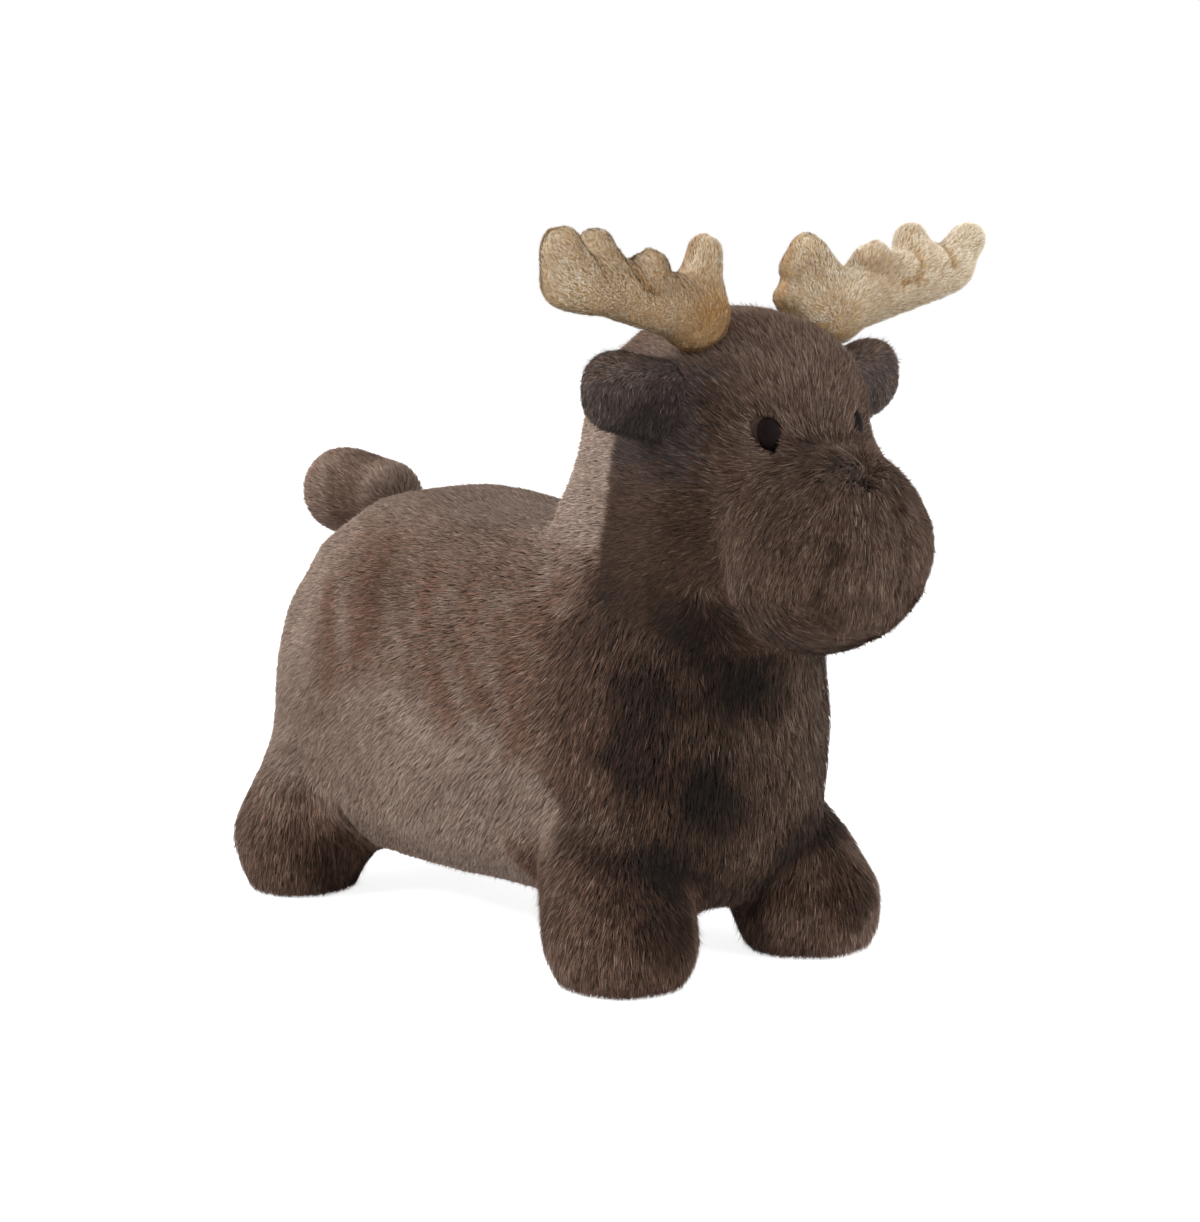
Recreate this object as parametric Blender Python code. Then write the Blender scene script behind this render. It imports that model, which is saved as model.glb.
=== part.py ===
"""Bouncy ride-on animal: an inflated hopper inside a sewn fur cover, with stuffed antlers, ears and tail.

The animal faces -Y and stands on Z = 0, with its right side towards -X. All sizes are in metres.
"""

import math

import bmesh
import bpy
from mathutils import Matrix, Vector

# Trunk forms: centre along Y and Z, half sizes, and how square each one is (2 is an ellipsoid)
BODY_Y = 0.075
BODY_Z = 0.146
BODY_HALF_WIDTH = 0.106
BODY_HALF_LENGTH = 0.1605
BODY_HALF_HEIGHT = 0.119
BODY_SQUARE = (3.4, 3.0)
BODY_TAPER = 0.09
CHEST_Y = -0.095
CHEST_Z = 0.147
CHEST_HALF_WIDTH = 0.085
CHEST_HALF_LENGTH = 0.087
CHEST_HALF_HEIGHT = 0.117
CHEST_SQUARE = (2.8, 2.8)
NECK_Y = -0.1085
NECK_Z = 0.229
NECK_HALF_WIDTH = 0.070
NECK_HALF_LENGTH = 0.088
NECK_HALF_HEIGHT = 0.081
NECK_SQUARE = (2.6, 2.6)
HEAD_Y = -0.1435
HEAD_Z = 0.318
HEAD_HALF_WIDTH = 0.077
HEAD_HALF_LENGTH = 0.085
HEAD_HALF_HEIGHT = 0.077
HEAD_SQUARE = (2.4, 2.4)
MUZZLE_Y = -0.234
MUZZLE_Z = 0.260
MUZZLE_HALF_WIDTH = 0.060
MUZZLE_HALF_LENGTH = 0.0475
MUZZLE_HALF_HEIGHT = 0.058
MUZZLE_SQUARE = (2.4, 2.4)
BELLY_FLAT_DEPTH = 0.007
BELLY_Z = BODY_Z - BODY_HALF_HEIGHT + BELLY_FLAT_DEPTH

# Legs: a round flat-bottomed foot, and the ball that joins it to the trunk
FOOT_HALF_HEIGHT = 0.033
FOOT_CENTRE_Z = 0.030
FOOT_SQUARE = (2.2, 3.0)
SOLE_RADIUS = 0.0245
FRONT_FOOT_X = 0.0755
FRONT_FOOT_Y = -0.138
FRONT_FOOT_RADIUS = 0.044
FRONT_HIP = (0.051, -0.100, 0.0895)
FRONT_HIP_RADIUS = 0.040
REAR_FOOT_X = 0.0805
REAR_FOOT_INSET = 0.0465
REAR_FOOT_Y = BODY_Y + BODY_HALF_LENGTH - REAR_FOOT_INSET
REAR_FOOT_RADIUS = 0.045
REAR_HIP_INSET = 0.0645
REAR_HIP = (0.057, BODY_Y + BODY_HALF_LENGTH - REAR_HIP_INSET, 0.085)
REAR_HIP_RADIUS = 0.050

# Fur cover, seams and bladder
COVER = 0.009
SEAM = 0.0008
FIT_GAP = 0.0006
ROOT_GAP = 0.0008
SEAT_GAP = 0.0003
BLADDER_WALL = 0.002
GUSSET_HALF_WIDTH = 0.0235
NECK_SEAM_Y = -0.100
NECK_SEAM_Z = 0.223
NECK_SEAM_TILT = math.radians(12.0)
NAPE_SEAM_LEAN = math.radians(26.0)
LEG_SEAM_Z = 0.078
LEG_SEAM_OUT = 0.005
BELLY_PANEL_HALF_WIDTH = 0.050
BELLY_PANEL_FRONT = -0.045
BELLY_PANEL_REAR = 0.115

# Antlers: the right one is the left one mirrored; points are offsets from the root ball's centre
ANTLER_X = 0.046
ANTLER_Y = -0.174
ANTLER_ROOT_RADIUS = 0.020
ANTLER_ROOT_HEIGHT = 0.0125
ANTLER_PLUSH = 0.0025
ANTLER_BEAM = (
    ((0.0024, -0.0001, 0.0025), 0.0180),
    ((0.0474, -0.0031, 0.0155), 0.0175),
    ((0.0934, -0.0071, 0.0235), 0.0145),
)
ANTLER_TINES = (
    ((-0.001, -0.001, 0.0030), 0.0165, (-0.0116, 0.0029, 0.0325), 0.0125),
    ((0.0334, -0.0031, 0.0125), 0.014, (0.0334, -0.0101, 0.0285), 0.0125),
    ((0.0634, -0.0031, 0.0205), 0.014, (0.0684, 0.0029, 0.0395), 0.0105),
    ((0.0914, -0.0067, 0.0230), 0.0138, (0.1014, -0.0091, 0.0385), 0.0115),
)

# Ears
EAR_Y = -0.1606
EAR_Z = 0.3485
EAR_ROOT_RADIUS = 0.015
EAR_ROOT_HEIGHT = 0.0085
EAR_REACH = 0.0145
EAR_HALF_WIDTH = 0.0255
EAR_HALF_THICKNESS = 0.0135
EAR_HALF_HEIGHT = 0.0225
EAR_SQUARE = (2.0, 2.2)
EAR_PILE = 0.004

# Tail
TAIL_ROOT_Z = 0.240
TAIL_ROOT_RADIUS = 0.024
TAIL_ROOT_HEIGHT = 0.017
TAIL_REACH = 0.0483
TAIL_LIFT = 0.0006
TAIL_END_RADIUS = 0.029
TAIL_PILE = 0.007

# Eyes: domed buttons held by lock washers behind the fabric
EYE_X = 0.035
EYE_Z = 0.329
EYE_HALF_WIDTH = 0.007
EYE_HALF_HEIGHT = 0.0105
EYE_DOME = 0.0052
EYE_TILT = math.radians(14.0)
EYE_SEAT_DEPTH = 0.0046
EYE_CUTTER_REACH = 0.010
EYE_SHANK_RADIUS = 0.002
EYE_SHANK_END = 0.0088
EYE_WASHER_RADIUS = 0.007
EYE_WASHER_FRONT = 0.0072
EYE_WASHER_THICKNESS = 0.0012
EYE_RECESS_OVERRUN = 0.003

# Air valve under the belly
VALVE_Y = 0.098
VALVE_TUBE_RADIUS = 0.008
VALVE_BORE_RADIUS = 0.005
VALVE_TUBE_INSET = 0.0018
VALVE_TUBE_END_Z = BELLY_Z + VALVE_TUBE_INSET
VALVE_HOLE_RADIUS = 0.009
PLUG_FLANGE_RADIUS = 0.0078
PLUG_FLANGE_THICKNESS = 0.0016
PLUG_STEM_LENGTH = 0.015
PLUG_TAB_RADIUS = 0.0035
PLUG_TAB_HEIGHT = 0.002

# Zip along the belly
ZIP_FRONT = -0.036
ZIP_SLOT_HALF_WIDTH = 0.0152
ZIP_TOOTH_PITCH = 0.005
ZIP_TEETH = 18
ZIP_TOOTH_LENGTH = 0.0021
ZIP_TOOTH_REACH = 0.0025
ZIP_SPINE_INNER = 0.0034
ZIP_SPINE_WIDTH = 0.0012
ZIP_CHAIN_INSET = 0.0030
ZIP_CHAIN_BOTTOM = BELLY_Z + ZIP_CHAIN_INSET
ZIP_CHAIN_HEIGHT = 0.0030
ZIP_TAPE_THICKNESS = 0.0010
ZIP_STOP_LENGTH = 0.0025
SLIDER_HALF_WIDTH = 0.0046
SLIDER_HALF_LENGTH = 0.0055
SLIDER_PLATE = 0.0020
BRIDGE_HALF_WIDTH = 0.0012
BRIDGE_HALF_LENGTH = 0.0042
BRIDGE_BAR = 0.0012
BRIDGE_OPENING = 0.0032
PULL_BAR_RADIUS = 0.0007
PULL_HALF_WIDTH = 0.0034
PULL_WINDOW_HALF_WIDTH = 0.0019
PULL_WINDOW_END = 0.0060
PULL_LENGTH = 0.020
PULL_HALF_THICKNESS = 0.0006

# Mesh fineness: segments round and rings from pole to pole, on the outer skin and on the layers inside it
TRUNK_MESH = ((16, 10), (12, 8))
LIMB_MESH = ((12, 8), (10, 6))
ROOT_MESH = ((16, 10), (10, 8))
ANTLER_MESH = ((8, 6), (6, 5))
EYE_MESH = (16, 10)

FAR = 0.5

FUR = ("4b3d35", 0.95)
FUR_BACK = ("78655b", 0.95)
VELBOA = ("b0997a", 0.9)
STUFFING = ("e9e6df", 1.0)


# Scene, collections and materials
for old in list(bpy.data.objects):
    bpy.data.objects.remove(old, do_unlink=True)
PARTS = bpy.data.collections.new("bouncy_ride_on_animal")
CUTTERS = bpy.data.collections.new("cutters")
bpy.context.scene.collection.children.link(PARTS)
bpy.context.scene.collection.children.link(CUTTERS)


def linear(hex_colour):
    """sRGB hex to a linear RGBA tuple."""
    values = [int(hex_colour[i:i + 2], 16) / 255.0 for i in (0, 2, 4)]
    return tuple(((v + 0.055) / 1.055) ** 2.4 if v > 0.04045 else v / 12.92 for v in values) + (1.0,)


def finish(obj, name, colour, roughness, metallic=0.0, smooth=True):
    """Name a finished piece, give it its own material and put it with the parts."""
    obj.name = name
    obj.data.name = name
    material = bpy.data.materials.new(name)
    material.use_nodes = True
    shader = material.node_tree.nodes["Principled BSDF"]
    shader.inputs["Base Color"].default_value = linear(colour)
    shader.inputs["Roughness"].default_value = roughness
    shader.inputs["Metallic"].default_value = metallic
    obj.data.materials.clear()
    obj.data.materials.append(material)
    for collection in list(obj.users_collection):
        collection.objects.unlink(obj)
    PARTS.objects.link(obj)
    obj.hide_render = False
    obj.display_type = "TEXTURED"
    if smooth:
        obj.data.shade_smooth()
        obj.data.set_sharp_from_angle(angle=math.radians(40.0))
    return obj


# Solver for the trunk and its layers: their forms share the plane X = 0, which defeats the exact one
LAYER_SOLVER = "MANIFOLD"


# Building blocks: every helper returns a mesh object at the origin, kept among the cutters
def as_tool(obj):
    """Apply an object's transform and keep it with the cutters."""
    obj.data.transform(obj.matrix_basis)
    obj.matrix_basis = Matrix.Identity(4)
    for collection in list(obj.users_collection):
        collection.objects.unlink(obj)
    CUTTERS.objects.link(obj)
    obj.hide_render = True
    obj.display_type = "WIRE"
    return obj


def box(low, high):
    bpy.ops.mesh.primitive_cube_add(size=1.0)
    obj = bpy.context.active_object
    low = Vector(low)
    high = Vector(high)
    obj.location = (low + high) / 2
    obj.scale = high - low
    bpy.context.view_layer.update()
    return as_tool(obj)


def cylinder(centre, radius, depth, axis="Z", sides=24):
    bpy.ops.mesh.primitive_cylinder_add(vertices=sides, radius=radius, depth=depth)
    obj = bpy.context.active_object
    if axis == "X":
        obj.rotation_euler = (0.0, math.radians(90.0), 0.0)
    obj.location = centre
    bpy.context.view_layer.update()
    return as_tool(obj)


def ball(centre, radius, mesh, grow=0.0):
    segments, rings = mesh[0] if grow >= 0.0 else mesh[1]
    bpy.ops.mesh.primitive_uv_sphere_add(
        segments=segments,
        ring_count=rings,
        radius=radius + grow,
        location=centre,
    )
    bpy.context.view_layer.update()
    return as_tool(bpy.context.active_object)


def form(centre, half, square, grow=0.0, taper=0.0, mesh=TRUNK_MESH):
    """A superellipsoid: a unit sphere squared off, then sized; grow moves its whole skin out or in.

    The hull gives its bent quads the same outward folds at every size, so that layers nest.
    """
    segments_and_rings = mesh[0] if grow >= 0.0 else mesh[1]
    obj = ball((0.0, 0.0, 0.0), 1.0, (segments_and_rings,))
    round_power, tall_power = square
    for vertex in obj.data.vertices:
        x, y, z = vertex.co
        flat = abs(x) ** round_power + abs(y) ** round_power
        reach = (flat ** (tall_power / round_power) + abs(z) ** tall_power) ** (-1.0 / tall_power)
        x, y, z = x * reach, y * reach, z * reach
        narrow = 1.0 - taper * z
        vertex.co = Vector((
            centre[0] + x * narrow * (half[0] + grow),
            centre[1] + y * narrow * (half[1] + grow),
            centre[2] + z * (half[2] + grow),
        ))
    return hull(obj)


def hull(*pieces):
    """The convex skin stretched over several pieces, which it uses up."""
    shape = bmesh.new()
    for piece in pieces:
        for vertex in piece.data.vertices:
            shape.verts.new(vertex.co)
        bpy.data.objects.remove(piece, do_unlink=True)
    bmesh.ops.convex_hull(shape, input=shape.verts)
    bmesh.ops.delete(shape, geom=[v for v in shape.verts if not v.link_faces], context="VERTS")
    bmesh.ops.recalc_face_normals(shape, faces=shape.faces)
    mesh = bpy.data.meshes.new("hull")
    shape.to_mesh(mesh)
    shape.free()
    obj = bpy.data.objects.new("hull", mesh)
    CUTTERS.objects.link(obj)
    return as_tool(obj)


def copy(obj):
    twin = obj.copy()
    twin.data = obj.data.copy()
    CUTTERS.objects.link(twin)
    return twin


def combine(obj, tool, operation, solver="EXACT"):
    """Boolean of obj with tool, applied at once, which uses the tool up."""
    modifier = obj.modifiers.new(operation.lower(), "BOOLEAN")
    modifier.operation = operation
    modifier.solver = solver
    modifier.object = tool
    evaluated = obj.evaluated_get(bpy.context.evaluated_depsgraph_get())
    mesh = bpy.data.meshes.new_from_object(evaluated)
    obj.modifiers.clear()
    obj.data = mesh
    bpy.data.objects.remove(tool, do_unlink=True)
    return obj


def cut(obj, *tools, solver="EXACT"):
    for tool in tools:
        combine(obj, tool, "DIFFERENCE", solver)
    return obj


def join(obj, *tools, solver="EXACT"):
    for tool in tools:
        combine(obj, tool, "UNION", solver)
    return obj


def mirror_copy(obj):
    """The same piece for the other side of the animal."""
    twin = copy(obj)
    twin.data.transform(Matrix.Scale(-1.0, 4, (1.0, 0.0, 0.0)))
    twin.data.flip_normals()
    return twin


def finish_pair(obj, name, *look):
    """Finish a left piece and its mirrored right one."""
    finish(mirror_copy(obj), name + "_right", *look)
    finish(obj, name + "_left", *look)


def part_of(obj, *cells, solver="EXACT"):
    """A copy of obj, kept only where it lies in every cell."""
    piece = copy(obj)
    for cell in cells:
        combine(piece, cell, "INTERSECT", solver)
    return piece


# Points on a form's skin
def skin_point(centre, half, square, known, side=1.0, taper=0.0):
    """The point on a form's skin where two of its coordinates are known, and the way it faces there."""
    a, b = square
    x, y, z = [None if v is None else (v - c) / h for v, c, h in zip(known, centre, half)]
    if z is None:
        z = side * (1.0 - (abs(x) ** a + abs(y) ** a) ** (b / a)) ** (1.0 / b)
    elif x is None:
        x = side * ((1.0 - abs(z) ** b) ** (a / b) - abs(y) ** a) ** (1.0 / a)
    else:
        y = side * ((1.0 - abs(z) ** b) ** (a / b) - abs(x) ** a) ** (1.0 / a)
    flat = (abs(x) ** a + abs(y) ** a) ** (b / a - 1.0)
    facing = Vector((
        flat * math.copysign(abs(x) ** (a - 1.0), x) / half[0],
        flat * math.copysign(abs(y) ** (a - 1.0), y) / half[1],
        math.copysign(abs(z) ** (b - 1.0), z) / half[2],
    )).normalized()
    narrow = 1.0 - taper * z
    point = Vector((
        centre[0] + x * narrow * half[0],
        centre[1] + y * narrow * half[1],
        centre[2] + z * half[2],
    ))
    return point, facing


# Trunk forms
HEAD_FORM = ((0.0, HEAD_Y, HEAD_Z), (HEAD_HALF_WIDTH, HEAD_HALF_LENGTH, HEAD_HALF_HEIGHT), HEAD_SQUARE)
NECK_FORM = ((0.0, NECK_Y, NECK_Z), (NECK_HALF_WIDTH, NECK_HALF_LENGTH, NECK_HALF_HEIGHT), NECK_SQUARE)
CHEST_FORM = ((0.0, CHEST_Y, CHEST_Z), (CHEST_HALF_WIDTH, CHEST_HALF_LENGTH, CHEST_HALF_HEIGHT), CHEST_SQUARE)
BODY_FORM = ((0.0, BODY_Y, BODY_Z), (BODY_HALF_WIDTH, BODY_HALF_LENGTH, BODY_HALF_HEIGHT), BODY_SQUARE)
MUZZLE_FORM = (
    (0.0, MUZZLE_Y, MUZZLE_Z),
    (MUZZLE_HALF_WIDTH, MUZZLE_HALF_LENGTH, MUZZLE_HALF_HEIGHT),
    MUZZLE_SQUARE,
)
LEGS = {
    "front": (FRONT_FOOT_X, FRONT_FOOT_Y, FRONT_FOOT_RADIUS, FRONT_HIP, FRONT_HIP_RADIUS),
    "rear": (REAR_FOOT_X, REAR_FOOT_Y, REAR_FOOT_RADIUS, REAR_HIP, REAR_HIP_RADIUS),
}
SIDES = {"left": 1.0, "right": -1.0}


def leg(place, grow):
    """The left leg: the skin over a foot and a hip ball."""
    foot_x, foot_y, foot_radius, hip, hip_radius = LEGS[place]
    foot = form(
        (foot_x, foot_y, FOOT_CENTRE_Z),
        (foot_radius, foot_radius, FOOT_HALF_HEIGHT),
        FOOT_SQUARE,
        grow,
        mesh=LIMB_MESH,
    )
    return hull(foot, ball(hip, hip_radius, LIMB_MESH, grow))


def trunk(grow):
    """Body, chest, neck, head and legs as one solid, with its skin moved out or in by grow."""
    torso = hull(form(*BODY_FORM, grow, BODY_TAPER), form(*CHEST_FORM, grow))
    neck_and_head = hull(form(*NECK_FORM, grow), form(*HEAD_FORM, grow))
    solid = join(torso, neck_and_head, solver=LAYER_SOLVER)
    cut(solid, below(BELLY_Z - grow), solver=LAYER_SOLVER)
    for place in LEGS:
        left_leg = leg(place, grow)
        join(solid, mirror_copy(left_leg), left_leg, solver=LAYER_SOLVER)
    return cut(solid, below(-grow), solver=LAYER_SOLVER)


# Cells that share the cover out among its sewn panels; grow opens a cell by a seam
def leg_cell(place, grow):
    cell = leg(place, LEG_SEAM_OUT + grow)
    return cut(cell, box((-FAR, -FAR, LEG_SEAM_Z + grow), (FAR, FAR, FAR)))


def head_cell(grow):
    """The space above the neck seam and in front of the nape seam."""
    above = box((-FAR, -FAR, -grow), (FAR, FAR, FAR))
    ahead = box((-FAR, -FAR, -FAR), (FAR, grow, FAR))
    seam_foot = Matrix.Translation((0.0, NECK_SEAM_Y, NECK_SEAM_Z))
    above.data.transform(seam_foot @ Matrix.Rotation(NECK_SEAM_TILT, 4, "X"))
    ahead.data.transform(seam_foot @ Matrix.Rotation(NAPE_SEAM_LEAN, 4, "X"))
    return combine(above, ahead, "INTERSECT")


def belly_cell(grow):
    return box(
        (-BELLY_PANEL_HALF_WIDTH - grow, BELLY_PANEL_FRONT - grow, 0.0),
        (BELLY_PANEL_HALF_WIDTH + grow, BELLY_PANEL_REAR + grow, BELLY_Z + COVER + SEAM),
    )


def below(z):
    return box((-FAR, -FAR, -FAR), (FAR, FAR, z))


def half_space(offset):
    """Everything to the left of the plane x = offset."""
    return box((offset, -FAR, -FAR), (FAR, FAR, FAR))


def ahead_of(y):
    return box((-FAR, -FAR, -FAR), (FAR, y, FAR))


def behind(y):
    return box((-FAR, y, -FAR), (FAR, FAR, FAR))


def middle(half_width):
    return box((-half_width, -FAR, -FAR), (half_width, FAR, FAR))


# Root balls of the parts that flex, each standing just proud of the skin that it is sewn to
def root_centre(point, facing, height):
    return point + facing * height


antler_skin, antler_facing = skin_point(*HEAD_FORM, (ANTLER_X, ANTLER_Y, None))
ANTLER_ROOT = root_centre(antler_skin, antler_facing, ANTLER_ROOT_HEIGHT)
ear_skin, ear_facing = skin_point(*HEAD_FORM, (None, EAR_Y, EAR_Z))
EAR_ROOT = root_centre(ear_skin, ear_facing, EAR_ROOT_HEIGHT)
tail_skin, tail_facing = skin_point(*BODY_FORM, (0.0, None, TAIL_ROOT_Z), 1.0, BODY_TAPER)
TAIL_ROOT = root_centre(tail_skin, tail_facing, TAIL_ROOT_HEIGHT)


def dish(centre, radius):
    """The hollow in the fur that a root ball turns in."""
    return ball(centre, radius, ROOT_MESH, ROOT_GAP)


# Eye places: the middle of each eye on the head's skin, turned to face along it
def eye_frame():
    """Left eye's matrix: its +Z faces out of the head and its +Y runs up the eye."""
    point, facing = skin_point(*HEAD_FORM, (EYE_X, None, EYE_Z), -1.0)
    up = Vector((math.sin(EYE_TILT), 0.0, math.cos(EYE_TILT)))
    across = up.cross(facing).normalized()
    up = facing.cross(across).normalized()
    turn = Matrix((across, up, facing)).transposed().to_4x4()
    return Matrix.Translation(point) @ turn


def in_eye_frame(obj):
    obj.data.transform(eye_frame())
    return obj


def eye_pocket():
    """Cutters for the dome's seat, the shank's hole and the washer's recess."""
    seat_bottom = -EYE_SEAT_DEPTH - SEAT_GAP
    seat = cylinder((0.0, 0.0, (EYE_CUTTER_REACH + seat_bottom) / 2), 1.0, EYE_CUTTER_REACH - seat_bottom)
    seat.data.transform(Matrix.Diagonal((EYE_HALF_WIDTH + FIT_GAP, EYE_HALF_HEIGHT + FIT_GAP, 1.0, 1.0)))
    hole = cylinder((0.0, 0.0, -COVER / 2), EYE_SHANK_RADIUS + SEAT_GAP, 2 * COVER, sides=12)
    recess_top = -EYE_WASHER_FRONT + SEAT_GAP
    recess_bottom = -COVER - EYE_RECESS_OVERRUN
    recess = cylinder(
        (0.0, 0.0, (recess_top + recess_bottom) / 2),
        EYE_WASHER_RADIUS + FIT_GAP,
        recess_top - recess_bottom,
        sides=20,
    )
    return [in_eye_frame(tool) for tool in (seat, hole, recess)]


# Bladder: one hollow skin inside the cover, blown up through its valve
def build_bladder():
    valve_top = BELLY_Z + COVER + FIT_GAP + 2 * BLADDER_WALL
    tube = cylinder(
        (0.0, VALVE_Y, (VALVE_TUBE_END_Z + valve_top) / 2),
        VALVE_TUBE_RADIUS,
        valve_top - VALVE_TUBE_END_Z,
    )
    bore_top = valve_top + 2 * BLADDER_WALL
    bore = cylinder(
        (0.0, VALVE_Y, (VALVE_TUBE_END_Z - COVER + bore_top) / 2),
        VALVE_BORE_RADIUS,
        bore_top - VALVE_TUBE_END_Z + COVER,
    )
    air = join(trunk(-COVER - FIT_GAP - BLADDER_WALL), bore, solver=LAYER_SOLVER)
    skin = join(trunk(-COVER - FIT_GAP), tube, solver=LAYER_SOLVER)
    return finish(cut(skin, air, solver=LAYER_SOLVER), "bladder", "d9d4c8", 0.45)


def build_valve_plug():
    """Push-in stopper with a flange that closes on the valve tube's end."""
    flange_top = VALVE_TUBE_END_Z - SEAT_GAP
    flange_middle = flange_top - PLUG_FLANGE_THICKNESS / 2
    plug = cylinder((0.0, VALVE_Y, flange_middle), PLUG_FLANGE_RADIUS, PLUG_FLANGE_THICKNESS)
    stem_low = flange_top - PLUG_FLANGE_THICKNESS / 2
    stem = cylinder(
        (0.0, VALVE_Y, stem_low + PLUG_STEM_LENGTH / 2),
        VALVE_BORE_RADIUS - SEAT_GAP,
        PLUG_STEM_LENGTH,
        sides=20,
    )
    tab_top = flange_top - PLUG_FLANGE_THICKNESS / 2
    tab_bottom = flange_top - PLUG_FLANGE_THICKNESS - PLUG_TAB_HEIGHT
    tab = cylinder((0.0, VALVE_Y, (tab_top + tab_bottom) / 2), PLUG_TAB_RADIUS, tab_top - tab_bottom, sides=16)
    return finish(join(plug, stem, tab), "valve_plug", "e8e4da", 0.4)


# Fur cover: the skin between the trunk's outside and the bladder, cut along its seams
def sewn_panel(skin, cells, *tools):
    """The part of the skin that lies in every cell, less the tools, without the specks that cuts leave."""
    panel = cut(part_of(skin, *cells, solver=LAYER_SOLVER), *tools, solver=LAYER_SOLVER)
    work = bmesh.new()
    work.from_mesh(panel.data)
    bodies = []
    unseen = set(work.verts)
    while unseen:
        body = [unseen.pop()]
        for vertex in body:
            near = {edge.other_vert(vertex) for edge in vertex.link_edges} & unseen
            unseen -= near
            body.extend(near)
        bodies.append(body)
    bodies.sort(key=len)
    for speck in bodies[:-1]:
        bmesh.ops.delete(work, geom=speck, context="VERTS")
    work.to_mesh(panel.data)
    work.free()
    return panel


def build_cover():
    skin = cut(trunk(0.0), trunk(-COVER), solver=LAYER_SOLVER)
    panel = sewn_panel(
        skin,
        [half_space(SEAM / 2)],
        head_cell(SEAM),
        belly_cell(SEAM),
        leg_cell("front", SEAM),
        leg_cell("rear", SEAM),
        dish(ANTLER_ROOT, ANTLER_ROOT_RADIUS),
        dish(EAR_ROOT, EAR_ROOT_RADIUS),
        dish(TAIL_ROOT, TAIL_ROOT_RADIUS),
    )
    finish_pair(panel, "body_cover", *FUR_BACK)
    cheek = sewn_panel(
        skin,
        [head_cell(0.0), half_space(GUSSET_HALF_WIDTH + SEAM)],
        dish(ANTLER_ROOT, ANTLER_ROOT_RADIUS),
        dish(EAR_ROOT, EAR_ROOT_RADIUS),
        *eye_pocket(),
    )
    finish_pair(cheek, "head_side", *FUR)
    finish(sewn_panel(skin, [head_cell(0.0), middle(GUSSET_HALF_WIDTH)]), "head_gusset", *FUR)
    slot = box(
        (-ZIP_SLOT_HALF_WIDTH, ZIP_FRONT, 0.0),
        (ZIP_SLOT_HALF_WIDTH, ZIP_REAR, BELLY_Z + 2 * COVER),
    )
    eyelet = cylinder((0.0, VALVE_Y, BELLY_Z + COVER / 2), VALVE_HOLE_RADIUS, 2 * COVER)
    finish(sewn_panel(skin, [belly_cell(0.0)], slot, eyelet), "belly_panel", *FUR)
    for place in LEGS:
        build_leg(skin, place)
    bpy.data.objects.remove(skin, do_unlink=True)


def build_leg(skin, place):
    """Leg tube and the round sole sewn into its end."""
    foot_x, foot_y = LEGS[place][:2]
    sole_height = COVER - SEAT_GAP
    sole_hole = cylinder((foot_x, foot_y, 0.0), SOLE_RADIUS + SEAT_GAP, 4 * COVER)
    finish_pair(sewn_panel(skin, [leg_cell(place, 0.0)], sole_hole), "leg_" + place, *FUR)
    sole = cylinder((foot_x, foot_y, sole_height / 2), SOLE_RADIUS, sole_height)
    finish_pair(sole, "sole_" + place, "3c2f28", 0.95)


# Muzzle: three sewn panels over stuffing, sewn onto the front of the head
def build_muzzle():
    def clear_of_head(solid):
        neck_and_head = hull(form(*NECK_FORM, SEAT_GAP), form(*HEAD_FORM, SEAT_GAP))
        return cut(solid, neck_and_head, form(*CHEST_FORM, SEAT_GAP), solver=LAYER_SOLVER)

    skin = clear_of_head(cut(form(*MUZZLE_FORM), form(*MUZZLE_FORM, -COVER), solver=LAYER_SOLVER))
    finish_pair(sewn_panel(skin, [half_space(GUSSET_HALF_WIDTH + SEAM)]), "muzzle_side", *FUR)
    finish(sewn_panel(skin, [middle(GUSSET_HALF_WIDTH)]), "muzzle_gusset", *FUR)
    finish(clear_of_head(form(*MUZZLE_FORM, -COVER - FIT_GAP)), "muzzle_filling", *STUFFING)
    bpy.data.objects.remove(skin, do_unlink=True)


# Antlers: two plush faces over stuffing
def antler_solid(grow):
    solid = ball(ANTLER_ROOT, ANTLER_ROOT_RADIUS, ROOT_MESH, grow)

    def knuckle(offset, radius):
        return ball(ANTLER_ROOT + Vector(offset), radius, ANTLER_MESH, grow)

    join(solid, hull(*(knuckle(place, radius) for place, radius in ANTLER_BEAM)))
    for start, start_radius, end, end_radius in ANTLER_TINES:
        join(solid, hull(knuckle(start, start_radius), knuckle(end, end_radius)))
    return solid


def build_antlers():
    skin = cut(antler_solid(0.0), antler_solid(-ANTLER_PLUSH))
    finish_pair(part_of(skin, ahead_of(ANTLER_ROOT.y - SEAM / 2)), "antler_front", *VELBOA)
    finish_pair(part_of(skin, behind(ANTLER_ROOT.y + SEAM / 2)), "antler_back", *VELBOA)
    finish_pair(antler_solid(-ANTLER_PLUSH - SEAT_GAP), "antler_filling", *STUFFING)
    bpy.data.objects.remove(skin, do_unlink=True)


# Ears: a fur back, a fur front and thin stuffing
def ear_solid(grow):
    flap = form(
        EAR_ROOT + Vector((EAR_REACH, 0.0, 0.0)),
        (EAR_HALF_WIDTH, EAR_HALF_THICKNESS, EAR_HALF_HEIGHT),
        EAR_SQUARE,
        grow,
        mesh=LIMB_MESH,
    )
    return hull(ball(EAR_ROOT, EAR_ROOT_RADIUS, ROOT_MESH, grow), flap)


def build_ears():
    skin = cut(ear_solid(0.0), ear_solid(-EAR_PILE))
    finish_pair(part_of(skin, ahead_of(EAR_ROOT.y - SEAM / 2)), "ear_front", *FUR)
    finish_pair(part_of(skin, behind(EAR_ROOT.y + SEAM / 2)), "ear_back", *FUR)
    finish_pair(ear_solid(-EAR_PILE - SEAT_GAP), "ear_filling", *STUFFING)
    bpy.data.objects.remove(skin, do_unlink=True)


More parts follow.
